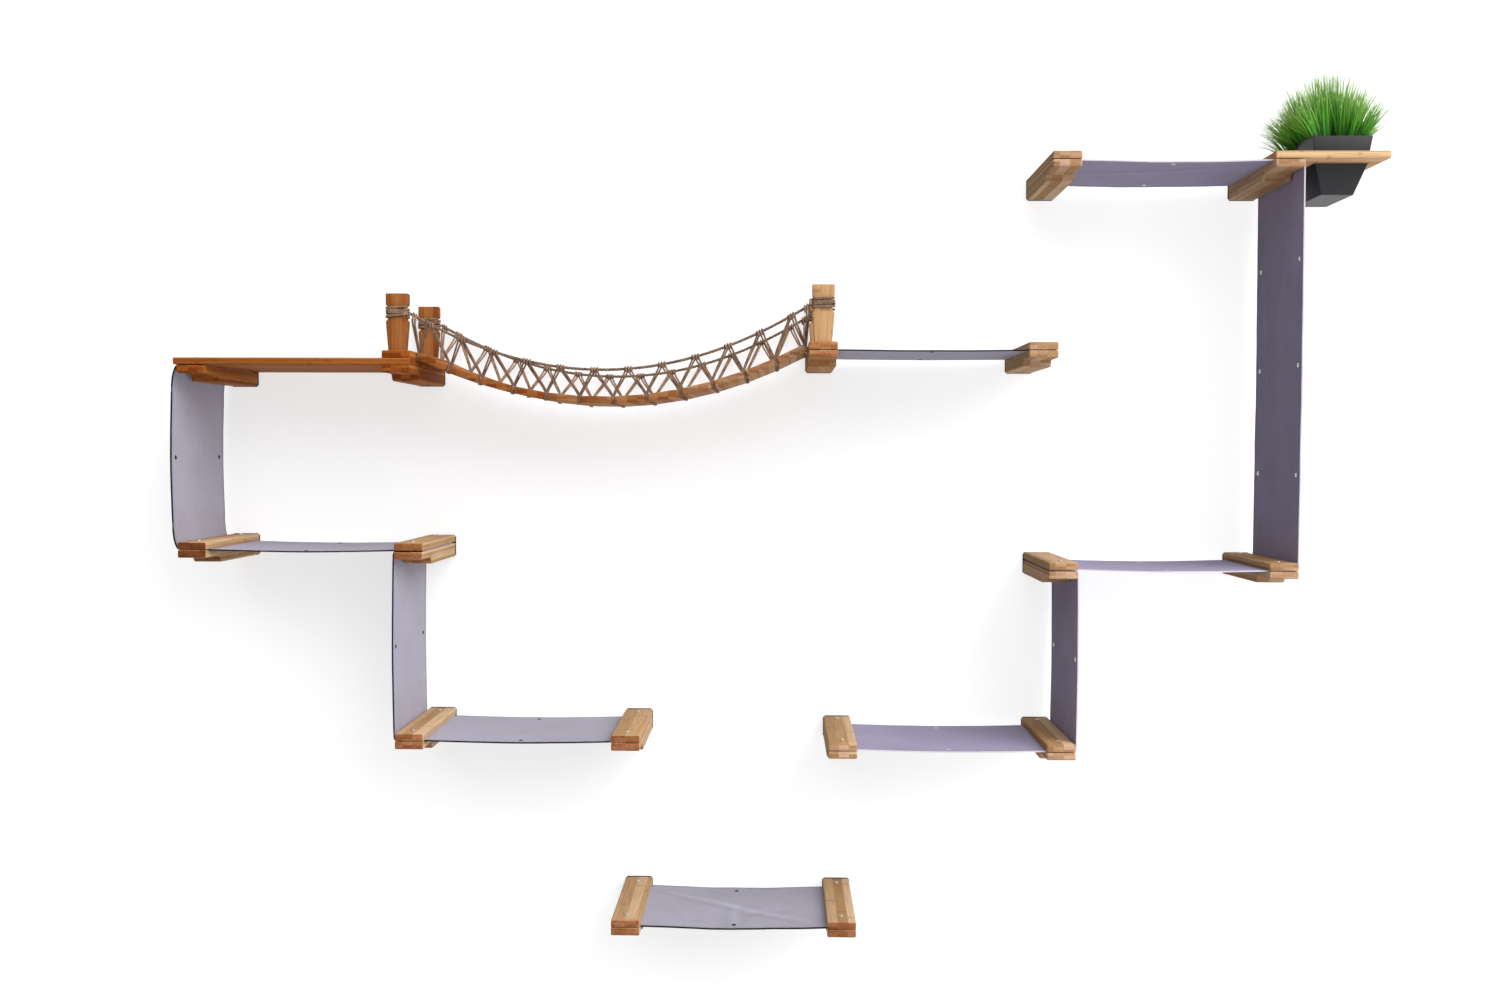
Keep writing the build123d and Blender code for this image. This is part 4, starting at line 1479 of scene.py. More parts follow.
@dataclass
class Strip:
    """One strip of canvas: its route in the plane of the wall, and how it hangs."""

    name: str
    route_mm: list[Numbers]
    clamps: list[str]
    reach_in_mm: float = 0.0
    reach_out_mm: float = 0.0
    upright_eyelets: int = 1
    # Whether the strip takes the cloth with the painted highlight on its edges and the partly painted-shade
    # dye, and the nickel eyelets.
    pale: bool = False
    sag_mm: float = 3.0
    bow_mm: float = 2.0
    crease_mm: float = 0.5
    # The waves of the two sets of creases in a metre, along and across the cloth, for each of the
    # noise's first two directions, and how deep each set is.
    creases: tuple[tuple[Numbers, Numbers, float], ...] = (
        ((9.0, 7.0), (-3.0, 4.0), 1.3), ((26.0, 0.0), (0.0, 9.0), 0.5)
    )
    # Each pressed fold's start and end, along and across the cloth, and its height. Its ridge also gets a
    # painted highlight, and the band beside it a painted shade.
    folds_mm: tuple[Numbers, ...] = ()
    # A fold's width; the height at which its painted highlight and painted shade are full; and the depth of
    # the painted shade beside the ridge, and how many fold widths off it lies.
    fold_width_mm: float = 9.0
    full_fold_mm: float = 3.0
    fold_shade: float = 0.7
    fold_shade_off: float = 1.7
    eyelet_rows_mm: Numbers = (-35.0, -247.0)
    front_mm: float = -268.0
    rear_mm: float = -14.0
    step_mm: float = 7.0
    turn_steps: int = 9
    turn_looseness: float = 0.15

    def __post_init__(self) -> None:
        """Lay out the strip's line and measure it."""
        self.line: list[Vector] = []
        self.free: list[float] = []
        self.runs: list[tuple[Vector, Vector, Lean]] = []
        self.lay_out()
        self.marks = distances(self.line)

    @property
    def length(self) -> float:
        """Length of the strip along its line, in metres."""
        return self.marks[-1]

    def lay_out(self) -> None:
        """Follow the route with rounded turns, and with runs that sag or bow a little."""
        corners = [Vector((x, 0, z)) * MM for x, z in self.route_mm]
        start = corners[0]
        for before, corner, after in zip(corners, corners[1:], corners[2:]):
            arrive, leave = (corner - before).normalized(), (after - corner).normalized()
            reaches = [self.reach_in_mm * MM, self.reach_out_mm * MM]
            reach_a, reach_b = reaches if abs(arrive.x) > 0.5 else reaches[::-1]
            self.add_run(start, corner - arrive * reach_a)
            heart = corner - arrive * reach_a + leave * reach_b
            for step in range(1, self.turn_steps):
                angle = step / self.turn_steps * math.pi / 2
                self.line.append(
                    heart + arrive * (reach_a * math.sin(angle)) - leave * (reach_b * math.cos(angle))
                )
                self.free.append(self.turn_looseness)
            start = corner + leave * reach_b
        self.add_run(start, corners[-1])

    def add_run(self, start: Vector, end: Vector) -> None:
        """Add a straight run, which is held at both ends.

        Args:
            start: where it starts.
            end: where it ends.
        """
        way = end - start
        lean = Lean.UPRIGHT if abs(way.z) > abs(way.x) else Lean.LEVEL
        count = max(2, int(way.length / (self.step_mm * MM)))
        self.runs.append((start, end, lean))
        outward = Vector((-1 if self.name.startswith("left") else 1, 0, 0))
        for step in range(count + 1):
            share = step / count
            loose = self.looseness(start.lerp(end, share), lean, share)
            shift = outward * self.bow_mm if lean is Lean.UPRIGHT else Vector((0, 0, -self.sag_mm))
            self.line.append(start.lerp(end, share) + shift * (MM * loose))
            self.free.append(loose)

    def looseness(self, point: Vector, lean: Lean, share: float) -> float:
        """How far the cloth may leave its straight line: not at all between the boards.

        Args:
            point: a point of the straight line.
            lean: how the run lies.
            share: how far along its run the point is.

        Returns:
            From 0, held, to 1, free.
        """
        if lean is Lean.UPRIGHT:
            return math.sin(math.pi * share)
        edges = [PLACES_MM[clamp][0] * MM for clamp in self.clamps]
        gap = min(abs(point.x - x) for x in edges) - HALF_WIDTH_MM * MM
        if gap <= 0:
            return 0.0
        middle = (COLUMN_MM / 2 - HALF_WIDTH_MM) * MM
        return math.sin(min(1.0, gap / middle) * math.pi / 2)

    def point(self, index: int, across: float) -> Vector:
        """A point of the cloth.

        Args:
            index: which point along the line.
            across: from 0 at the rear edge to 1 at the front edge.

        Returns:
            The point, creased where the cloth is free.
        """
        here = self.line[index]
        before = self.line[max(index - 1, 0)]
        after = self.line[min(index + 1, len(self.line) - 1)]
        along = (after - before).normalized()
        normal = Vector((-along.z, 0, along.x))
        u, v = self.marks[index], across * CANVAS_WIDTH_MM * MM
        fold = 0.0
        for (one, other, depth), seed in zip(self.creases, (len(self.name), 3.0)):
            place = Vector((u * one[0] + v * one[1], u * other[0] + v * other[1], seed))
            fold += noise.noise(place) * depth
        lift_mm = fold * self.crease_mm + self.folded(u / MM, v / MM)[0]
        spread = Vector((0, (self.rear_mm + across * (self.front_mm - self.rear_mm)) * MM, 0))
        return here + spread + normal * (lift_mm * MM * self.free[index])

    def folded(self, u_mm: float, v_mm: float) -> Numbers:
        """What the pressed-in fold lines do to the cloth.

        Args:
            u_mm: distance along the strip.
            v_mm: distance from the rear edge.

        Returns:
            The height in millimetres, and the painted light and shade, from -1, a painted shade beside the
            ridge, to 1, a painted highlight on it.
        """
        height = tone = 0.0
        here = Vector((u_mm, v_mm))
        for u_from, v_from, u_to, v_to, rise in self.folds_mm:
            start, way = Vector((u_from, v_from)), Vector((u_to - u_from, v_to - v_from))
            share = min(1.0, max(0.0, (here - start).dot(way) / way.length_squared))
            off = (here - start - way * share) / self.fold_width_mm
            side = math.copysign(off.length, off.y)
            # The ridge gets a painted highlight, and the band beside it a painted shade.
            ridge = math.exp(-off.length_squared)
            shade = self.fold_shade * math.exp(-((side - self.fold_shade_off) ** 2))
            height += rise * ridge
            tone += min(1.0, abs(rise) / self.full_fold_mm) * (ridge - shade)
        return height, min(1.0, max(-1.0, tone))

    def spots(self) -> list[tuple[Vector, Vector]]:
        """Where the eyelets go.

        Returns:
            A middle and a direction for each eyelet.
        """
        found = []
        for start, end, lean in self.runs:
            if (end - start).length < COLUMN_MM * MM / 2:
                continue
            count, axis, middle = self.upright_eyelets, Vector((1, 0, 0)), (start + end) / 2
            if lean is Lean.LEVEL:
                count, axis = 1, Vector((0, 0, 1))
                middle.x = self.level_middle(start.x, end.x)
            for step in range(count):
                rise = (step - (count - 1) / 2) * COLUMN_MM / 2 * MM
                wanted = middle + Vector((0, 0, rise))
                index = min(range(len(self.line)), key=lambda i: (self.line[i] - wanted).length)
                for row_mm in self.eyelet_rows_mm:
                    across = (row_mm - self.rear_mm) / (self.front_mm - self.rear_mm)
                    found.append((self.point(index, across), axis))
        return found

    def level_middle(self, start: float, end: float) -> float:
        """Half way between the two brackets that a level run joins."""
        low, high = sorted((start, end))
        beside = 60 * MM
        columns = [PLACES_MM[clamp][0] * MM for clamp in self.clamps]
        inner = [x for x in columns if low - beside < x < high + beside]
        return (min(inner) + max(inner)) / 2


@dataclass
class Canvases:
    """The six strips of canvas and their eyelets."""

    finishes: Finishes
    across_steps: int = 40
    hem_mm: float = 11.0
    hem_thickness_mm: float = 2.5
    hem_fold: float = 0.004
    flat_share: float = 0.96
    hole_radius_mm: float = 3.1
    hole_depth_mm: float = 8.0
    ring_radius_mm: float = 3.2
    ring_wire_mm: float = 1.6
    end_inset_mm: float = 3.0

    def end(self, place: str, side: int, layer: int = 0) -> Numbers:
        """The end of a strip between two boards."""
        x, z = PLACES_MM[place]
        return x + side * (HALF_WIDTH_MM - self.end_inset_mm), z + CANVAS_MM * (layer + 0.5)

    def turn(self, place: str, side: int, stand_off_mm: float) -> Numbers:
        """The corner beside a bracket."""
        x, z = PLACES_MM[place]
        return x + side * (HALF_WIDTH_MM + stand_off_mm), z + CANVAS_MM / 2

    def drop(
        self, name: str, clamps: list[str], side: int, reach_mm: Numbers, layer: int, **looks: object
    ) -> Strip:
        """Describe a strip that runs out to the side, down, and back in.

        Args:
            name: the strip's name.
            clamps: the brackets that hold it, from the top.
            side: 1 where its ends are to the right, -1 to the left.
            reach_mm: how far it turns out from its brackets, and how far down.
            layer: 1 where its lower end lies on another strip.
            looks: what else sets the strip apart.

        Returns:
            The strip.
        """
        route = [
            self.end(clamps[0], side), self.turn(clamps[-3], -side, reach_mm[0]),
            self.turn(clamps[-2], -side, reach_mm[0]), self.end(clamps[-1], side, layer),
        ]
        return Strip(name, route, clamps, *reach_mm, **looks)

    def strips(self) -> list[Strip]:
        """Describe the six strips."""
        strips = [
            self.drop(
                "left_upper", ["left_top", "left_middle_outer", "left_middle_inner"], 1, (13, 46), 1,
                bow_mm=2.6,
            ),
            self.drop("left_lower", ["left_middle_inner", "left_low_outer", "left_low_inner"], 1, (4, 12), 0),
            self.drop(
                "right_upper",
                ["right_top_inner", "right_top_outer", "right_middle_outer", "right_middle_inner"],
                -1, (3, 8), 1, upright_eyelets=3, pale=True, bow_mm=1.0, crease_mm=0.9,
                folds_mm=(
                    (75, 120, 395, 205, -2.6), (120, 60, 390, 120, 1.8), (560, 40, 1010, 70, 1.0),
                    (520, 205, 760, 120, 0.9), (1130, 60, 1420, 150, 0.9),
                ),
            ),
            self.drop(
                "right_lower", ["right_middle_inner", "right_low_outer", "right_low_inner"], -1, (3, 8), 0,
                pale=True, bow_mm=1.5,
            ),
        ]
        for name, clamps, looks in (
            ("landing", ["bridge_right", "landing"], {"sag_mm": 1.5}),
            ("bottom", ["bottom_left", "bottom_right"], {"sag_mm": 4.0, "crease_mm": 1.1, "folds_mm": (
                (60, 20, 380, 225, 3.4), (70, 60, 150, 200, -1.3), (226, 130, 226, 230, 1.3),
                (250, 160, 400, 110, -1.1), (330, 60, 410, 190, 1.1),
            )}),
        ):
            strips.append(Strip(name, [self.end(clamps[0], -1), self.end(clamps[1], 1)], clamps, **looks))
        return strips

    def build(self) -> None:
        """Build every strip and its eyelets."""
        ring = self.roll_eyelet()
        for strip in self.strips():
            self.build_strip(strip)
            self.fit_eyelets(strip, ring)
        bpy.data.objects.remove(ring)

    def build_strip(self, strip: Strip) -> None:
        """Lay a grid along the strip's line, and give it its thickness, hems and holes.

        Args:
            strip: the strip.
        """
        along_steps = len(strip.line) - 1
        cloth = add_shape(
            bpy.ops.mesh.primitive_grid_add, f"canvas_{strip.name}_cloth",
            x_subdivisions=along_steps, y_subdivisions=self.across_steps, size=1,
        )
        places = [(vertex.co.x + 0.5, vertex.co.y + 0.5) for vertex in cloth.data.vertices]
        self.shape(cloth, strip, [
            (round(x * along_steps), self.spread(round(y * self.across_steps))) for x, y in places
        ])
        finish_modifiers(cloth)
        drill(cloth, [
            add_peg(spot, axis, self.hole_radius_mm * MM, self.hole_depth_mm * MM, 12)
            for spot, axis in strip.spots()
        ])
        smooth(cloth, 50)
        material = self.finishes.canvas_painted_highlight_edge if strip.pale else self.finishes.canvas_painted_shade_edge
        settle(cloth, material, Body.WALL, [f"canvas_{strip.name}"])
        log.info("canvas_%s was cut %.0f by %.0f mm", strip.name, CANVAS_WIDTH_MM, strip.length / MM)

    def shape(self, cloth: Piece, strip: Strip, keys: list[tuple[int, float]]) -> None:
        """Move a grid's points to the cloth's, and store its map, the painted light and shade of its folds,
        and its thickness.

        Args:
            cloth: the grid.
            strip: the strip.
            keys: for each point, which point of the line it is beside, and its share across.
        """
        mesh = cloth.data
        for loop in mesh.loops:
            index, across = keys[loop.vertex_index]
            mesh.uv_layers[0].data[loop.index].uv = (strip.marks[index], across * CANVAS_WIDTH_MM * MM)
        # The folds' painted highlight and painted shade, none where the cloth is held.
        painted_fold_values = [
            strip.free[index] * strip.folded(strip.marks[index] / MM, across * CANVAS_WIDTH_MM)[1]
            for index, across in keys
        ]
        mesh.attributes.new("painted_fold_shading", "FLOAT", "POINT").data.foreach_set("value", painted_fold_values)
        hem = cloth.vertex_groups.new(name="thickness")
        single = CANVAS_MM / self.hem_thickness_mm * self.flat_share
        for vertex, (index, across) in zip(mesh.vertices, keys):
            vertex.co = strip.point(index, across)
            from_edge_mm = min(across, 1 - across) * CANVAS_WIDTH_MM
            folded = from_edge_mm <= self.hem_mm and strip.free[index] > 0.02
            hem.add([vertex.index], 1.0 if folded else single, "REPLACE")
        solid = cloth.modifiers.new("thickness", "SOLIDIFY")
        solid.thickness = self.hem_thickness_mm * MM
        solid.offset = 0
        solid.vertex_group = hem.name

    def spread(self, row: int) -> float:
        """Place the rows of the grid so that two of them lie at the foot of each hem.

        Args:
            row: the row's number.

        Returns:
            From 0 at the rear edge to 1 at the front edge.
        """
        hem = self.hem_mm / CANVAS_WIDTH_MM
        stops = [0.0, hem * 0.5, hem, hem + self.hem_fold]
        last = self.across_steps
        if row < len(stops):
            return stops[row]
        if last - row < len(stops):
            return 1 - stops[last - row]
        inner = (row - len(stops) + 1) / (last - 2 * len(stops) + 2)
        return stops[-1] + inner * (1 - 2 * stops[-1])

    def roll_eyelet(self) -> Piece:
        """Model one eyelet, with a rolled rim on both faces of the cloth.

        Returns:
            The eyelet at the origin.
        """
        ring = add_shape(
            bpy.ops.mesh.primitive_torus_add, "eyelet", major_radius=self.ring_radius_mm * MM,
            minor_radius=self.ring_wire_mm * MM, major_segments=20, minor_segments=8,
        )
        barrel = (self.ring_radius_mm - 0.6 * self.ring_wire_mm) * MM
        flange = (self.ring_radius_mm + 0.6) * MM
        with editing(ring):
            pick(ring, Element.VERTEX, lambda v: v.co.xy.length < barrel)
            bpy.ops.transform.resize(value=(1, 1, 1.25), center_override=(0, 0, 0))
            pick(ring, Element.VERTEX, lambda v: v.co.xy.length > flange)
            bpy.ops.transform.resize(value=(1.02, 1.02, 0.8), center_override=(0, 0, 0))
        smooth(ring, 60)
        return ring

    def fit_eyelets(self, strip: Strip, ring: Piece) -> None:
        """Copy the eyelet to every spot of a strip.

        Args:
            strip: the strip.
            ring: the eyelet that is copied.
        """
        copies = []
        for spot, axis in strip.spots():
            turn = Vector((0, 0, 1)).rotation_difference(axis).to_matrix().to_4x4()
            copies.append(copy_to(ring, "eyelet_copy", Matrix.Translation(spot) @ turn))
        finish = self.finishes.eyelet_bright if strip.pale else self.finishes.eyelet_dark
        settle(join(copies, f"eyelets_{strip.name}"), finish, Body.WALL, ["eyelets"])


@dataclass(frozen=True)
class HangingLine:
    """A rope that hangs between two points."""

    left: Vector
    right: Vector
    sag: float

    def height(self, x: float) -> float:
        """Height of the rope at a place along the wall."""
        share = (x - self.left.x) / (self.right.x - self.left.x)
        return self.left.z + (self.right.z - self.left.z) * share - 4 * self.sag * share * (1 - share)

    def slope(self, x: float) -> float:
        """How steeply the rope rises to the right at a place along the wall."""
        return (self.height(x + MM) - self.height(x - MM)) / (2 * MM)

    def even_points(self, count: int) -> list[Vector]:
        """Share the rope out at even distances along it.

        Args:
            count: how many lengths.

        Returns:
            The points between the lengths, with both ends.
        """
        steps = 50 * count
        xs = [self.left.x + (self.right.x - self.left.x) * step / steps for step in range(steps + 1)]
        line = [Vector((x, 0, self.height(x))) for x in xs]
        run = distances(line)
        marks = [run[-1] * index / count for index in range(count + 1)]
        return [min(zip(run, line), key=lambda pair: abs(pair[0] - mark))[1] for mark in marks]


def soft_line(points: list[Vector], resolution: int = 12) -> list[Vector]:
    """Read the points of a smooth spline that has the given control points.

    Args:
        points: the control points of the route.
        resolution: points read for each control point.

    Returns:
        Points close together on the spline.
    """
    data = bpy.data.curves.new("route", "CURVE")
    data.dimensions = "3D"
    data.resolution_u = resolution
    spline = data.splines.new("NURBS")
    spline.points.add(len(points) - 1)
    for control, point in zip(spline.points, points):
        control.co = (*point, 1)
    spline.order_u = 3
    spline.use_endpoint_u = True
    guide = add_object("route", data)
    mesh = bpy.data.meshes.new_from_object(guide)
    read = [vertex.co.copy() for vertex in mesh.vertices]
    bpy.data.objects.remove(guide)
    bpy.data.curves.remove(data)
    bpy.data.meshes.remove(mesh)
    return read


def respace(points: list[Vector], step: float) -> list[Vector]:
    """Take points at an even distance along a line.

    Args:
        points: the line.
        step: about how far apart the new points are.

    Returns:
        The new points, with both ends.
    """
    marks = distances(points)
    count = max(2, round(marks[-1] / step))
    found, index = [], 0
    for mark in (marks[-1] * number / count for number in range(count + 1)):
        while index < len(points) - 2 and marks[index + 1] < mark:
            index += 1
        span = marks[index + 1] - marks[index]
        found.append(points[index].lerp(points[index + 1], min(1.0, (mark - marks[index]) / span)))
    return found


def twist_strands(name: str, lines: list[list[Vector]], radius: float, lay: float, strands: int) -> Piece:
    """Lay strands round lines, as rope is laid.

    Args:
        name: the piece's name.
        lines: the middle lines, with points close together.
        radius: the rope's radius.
        lay: the length in which a strand goes once round, in eight steps.
        strands: how many strands. A single one follows its line.

    Returns:
        The rope as a mesh.
    """
    strand_share, reach_share = (0.56, 0.46) if strands > 1 else (1.0, 0.0)
    data = bpy.data.curves.new(name, "CURVE")
    data.dimensions = "3D"
    data.bevel_depth = radius * strand_share
    data.bevel_resolution = 1
    data.use_fill_caps = True
    for line in lines:
        points = respace(line, lay / 8)
        last = len(points) - 1
        tangents = [(points[min(i + 1, last)] - points[max(i - 1, 0)]).normalized() for i in range(last + 1)]
        side = tangents[0].orthogonal().normalized()
        sides = []
        for tangent in tangents:
            side = (side - tangent * side.dot(tangent)).normalized()
            sides.append(side)
        spacing = run_length(points) / last
        for strand in range(strands):
            spline = data.splines.new("POLY")
            spline.points.add(last)
            for index, (point, tangent, side) in enumerate(zip(points, tangents, sides)):
                angle = math.tau * (index * spacing / lay + strand / strands)
                out = side * math.cos(angle) + tangent.cross(side) * math.sin(angle)
                spline.points[index].co = (*(point + out * (radius * reach_share)), 1)
    take(add_object(name, data))
    bpy.ops.object.convert(target="MESH")
    return name_piece(bpy.context.object, name)


@dataclass
class Bridge:
    """The rope bridge: posts, windings, deck ropes, hand ropes, planks and lacing."""

    finishes: Finishes
    plank_count: int = 12
    plank_mm: float = 13.5
    plank_gap_mm: float = 7.5
    plank_low_mm: float = -243.0
    plank_high_mm: float = -38.0
    plank_edge_mm: float = 2.4
    bore_gap_mm: float = 0.6
    bore_peg_mm: float = 200.0
    deck_sag_mm: float = 92.0
    deck_end_gap_mm: float = 3.0
    socket_mm: float = 13.7
    deck_radius_mm: float = 2.5
    deck_rows_mm: Numbers = (-52.0, -229.0)
    hand_sag_mm: float = 113.0
    hand_radius_mm: float = 2.8
    hand_rise_mm: float = 69.0
    hand_rows_mm: Numbers = (-18.25, -263.0)
    rope_lay_mm: float = 21.0
    post_width_mm: float = 41.5
    post_base_mm: float = 32.5
    post_neck_mm: float = 33.0
    post_thickness_mm: float = 18.5
    post_height_mm: float = 106.0
    post_edge_mm: float = 1.8
    shoulder_mm: float = 54.0
    neck_foot_mm: float = 58.5
    neck_head_mm: float = 81.0
    head_foot_mm: float = 85.0
    # The winding's middle line from the post's middle, and the thickness that the solid gives it.
    winding_mm: Numbers = (19.25, 12.0)
    winding_solid_mm: float = 4.9
    winding_gap_mm: float = 0.3
    winding_corner_mm: float = 5.0
    winding_turns: int = 4
    winding_pitch_mm: float = 5.0
    winding_foot_mm: float = 2.6
    winding_radius_mm: float = 2.5
    winding_lay_mm: float = 13.0
    winding_slack: float = 1.08
    winding_stray_mm: float = 1.4
    seed: int = 3
    twine_mm: float = 1.8
    twine_lay_mm: float = 19.2
    strand_apart_mm: float = 2.7
    strand_close_mm: float = 0.6
    # How many of a leg's points are close together, and over how many the strands part.
    close_points: int = 4
    parting_points: int = 3
    # The loop round the deck rope, from inside the deck: steps out of the deck and up from it.
    loop_mm: tuple[Numbers, ...] = (
        (-4.4, 2.0), (-4.6, -4.5), (0.0, -8.2), (4.8, -5.5), (4.4, 1.5), (3.0, 9.4)
    )
    loop_off_mm: float = 1.35
    head_apart_mm: float = 4.0
    head_drop_mm: float = 6.0
    # The way over the hand rope: steps along it, and shares of the gap to it out of the deck and up.
    wrap: tuple[Numbers, ...] = (
        (-3.4, -1.0, 0.0), (-2.8, 0.0, 1.25), (-1.4, 1.25, 0.0), (0.0, 0.0, -1.25),
        (1.4, -1.25, 0.0), (2.8, 0.0, 1.25), (3.4, 1.0, 0.0),
    )
    wrap_gap_mm: float = 0.2
    hook_gap_mm: float = 0.4
    hook_drop_mm: float = 8.0
    end_leg_mm: float = 2.0

    def __post_init__(self) -> None:
        """Work out the deck line and the hand rope line from the sizes."""
        ends = ("bridge_left", "bridge_right")
        levels = {name: PLACES_MM[name][1] + stack_mm(name) + BOARD_MM / 2 for name in ends}
        self.tops_mm = {name: level + BOARD_MM / 2 for name, level in levels.items()}
        left_x, right_x = (PLACES_MM[name][0] for name in ends)
        reach = HALF_WIDTH_MM + self.deck_end_gap_mm
        self.deck = HangingLine(
            Vector((left_x + reach, 0, levels["bridge_left"])) * MM,
            Vector((right_x - reach, 0, levels["bridge_right"])) * MM,
            self.deck_sag_mm * MM,
        )
        self.knots = self.deck.even_points(self.plank_count)
        wound = self.post_neck_mm / 2 + self.winding_gap_mm + self.winding_solid_mm
        droop = math.atan(4 * self.hand_sag_mm / (right_x - left_x))
        start = wound + self.winding_gap_mm + self.hand_radius_mm * math.sin(droop)
        self.hand = HangingLine(
            Vector((left_x + start, 0, self.tops_mm["bridge_left"] + self.hand_rise_mm)) * MM,
            Vector((right_x - start, 0, self.tops_mm["bridge_right"] + self.hand_rise_mm)) * MM,
            self.hand_sag_mm * MM,
        )
        self.middles = [(one + other) / 2 for one, other in zip(self.knots, self.knots[1:])]
        self.apexes = [Vector((m.x, 0, self.hand.height(m.x))) for m in self.middles]

    def body(self, index: int) -> Body:
        """The body of a plank, counted from 1 at the left."""
        order = (Body.OUTER, Body.SECOND, Body.THIRD, Body.FOURTH, Body.MIDDLE)
        return order[min(index - 1, self.plank_count - index, len(order) - 1)]

    def build_ropes(self) -> None:
        """Build the four free ropes, which come first."""
        end = Vector(((self.deck_end_gap_mm + self.socket_mm) * MM, 0, 0))
        deck_route = [self.deck.left - end, *self.knots, self.deck.right + end]
        hand_route = [self.hand.left, *self.apexes, self.hand.right]
        for kind, route, rows, radius_mm, line in (
            ("deck_rope", deck_route, self.deck_rows_mm, self.deck_radius_mm, self.deck),
            ("hand_rope", hand_route, self.hand_rows_mm, self.hand_radius_mm, self.hand),
        ):
            for side, row_mm in zip(("rear", "front"), rows):
                points = [point + Vector((0, row_mm * MM, 0)) for point in route]
                path = soft_line(points)
                rope = twist_strands(f"{kind}_{side}", [path], radius_mm * MM, self.rope_lay_mm * MM, 3)
                settle(rope, self.finishes.rope, None, [f"{kind}s"])
                smooth(rope, 60)
                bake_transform(rope)
                log.info("%s_%s is %.0f mm long", kind, side, run_length(points) / MM)

    def build(self) -> None:
        """Build the planks, the lacing, the posts and the windings."""
        self.build_planks()
        self.build_lacing()
        self.build_posts()
        self.build_windings()

    def build_planks(self) -> None:
        """Model one plank at the origin, then copy it to every place along the deck."""
        width_mm = (self.knots[1] - self.knots[0]).length / MM - self.plank_gap_mm
        low = Vector((-width_mm / 2, self.plank_low_mm, -self.plank_mm / 2)) * MM
        high = Vector((width_mm / 2, self.plank_high_mm, self.plank_mm / 2)) * MM
        plank = add_board("plank", low, high)
        round_edges(plank, self.plank_edge_mm * MM, 3, lambda edge: True)
        radius = (self.deck_radius_mm + self.bore_gap_mm) * MM
        drill(plank, [
            add_peg(Vector((0, row, 0)) * MM, Vector((1, 0, 0)), radius, self.bore_peg_mm * MM, 16)
            for row in self.deck_rows_mm
        ])
        smooth(plank)
        groups: dict[tuple[Body, str], list[Piece]] = {}
        for index, middle in enumerate(self.middles, 1):
            along = self.knots[index] - self.knots[index - 1]
            tilt = Matrix.Rotation(math.atan2(-along.z, along.x), 4, "Y")
            copy = copy_to(plank, "plank_copy", Matrix.Translation(middle) @ tilt)
            body = self.body(index)
            side = "left" if 2 * index <= self.plank_count else "right"
            groups.setdefault((body, "middle" if body is Body.MIDDLE else side), []).append(copy)
        bpy.data.objects.remove(plank)
        for (body, side), copies in groups.items():
            group = body.value.removeprefix("deck_")
            piece = join(copies, f"planks_{group}_at_{side}")
            settle(piece, self.finishes.planks[side], body, [f"planks_{group}"])

    def sides(self) -> list[tuple[Vector, Vector, Vector]]:
        """The rear and the front side of the bridge.

        Returns:
            For each, the steps from the wall to its deck rope and its hand rope, and the way out.
        """
        return [
            (Vector((0, row_mm * MM, 0)), Vector((0, hand_row_mm * MM, 0)), Vector((0, out, 0)))
            for row_mm, hand_row_mm, out in zip(self.deck_rows_mm, self.hand_rows_mm, (1, -1))
        ]

    def leg(
        self, knot: Vector, apex: Vector, toward: Vector, row: Vector, hand_row: Vector, out: Vector
    ) -> list[Vector]:
        """Route a strand from its loop round the deck rope up to the hand rope.

        Args:
            knot: the deck rope's point in the gap.
            apex: the point of the hand rope above the plank.
            toward: the deck's direction at the gap, towards the plank.
            row: the step from the wall to the deck rope.
            hand_row: the step from the wall to the hand rope.
            out: the way out of the deck.

        Returns:
            The points of the leg, from below.
        """
        side = 1 if toward.x > 0 else -1
        level = toward * side
        up = Vector((-level.z, 0, level.x))
        base = knot + toward * (self.loop_off_mm * MM) + row
        loop = [base + out * (out_mm * MM) + up * (up_mm * MM) for out_mm, up_mm in self.loop_mm]
        head = apex + hand_row - Vector((side * self.head_apart_mm * MM, 0, 0))
        top = head - Vector((0, 0, self.head_drop_mm * MM))
        return [*loop, loop[-1].lerp(top, 0.5), top]

    def build_lacing(self) -> None:
        """Lace each plank's two gaps to both hand ropes, with doubled twine."""
        groups: dict[Body, list[list[Vector]]] = {}
        gap = (self.hand_radius_mm + self.twine_mm + self.wrap_gap_mm) * MM
        for index, apex in enumerate(self.apexes, 1):
            along = (self.knots[index] - self.knots[index - 1]).normalized()
            slope = self.hand.slope(apex.x)
            way = Vector((1, 0, slope)).normalized()
            up = Vector((-slope, 0, 1)).normalized()
            for row, hand_row, out in self.sides():
                here = apex + hand_row
                wrap = [
                    here + way * (along_mm * MM) + out * gap * out_share + up * gap * up_share
                    for along_mm, out_share, up_share in self.wrap
                ]
                left = self.leg(self.knots[index - 1], apex, along, row, hand_row, out)
                right = self.leg(self.knots[index], apex, -along, row, hand_row, out)
                strands = self.doubled(left + wrap + right[::-1], way, True)
                groups.setdefault(self.body(index), []).extend(strands)
        groups[Body.OUTER].extend(self.end_legs())
        for body, lines in groups.items():
            group = body.value.removeprefix("deck_")
            radius, lay = self.twine_mm * MM, self.twine_lay_mm * MM
            piece = twist_strands(f"lacing_{group}_twine", lines, radius, lay, 1)
            smooth(piece, 70)
            settle(piece, self.finishes.twine, body, [f"lacing_{group}"])

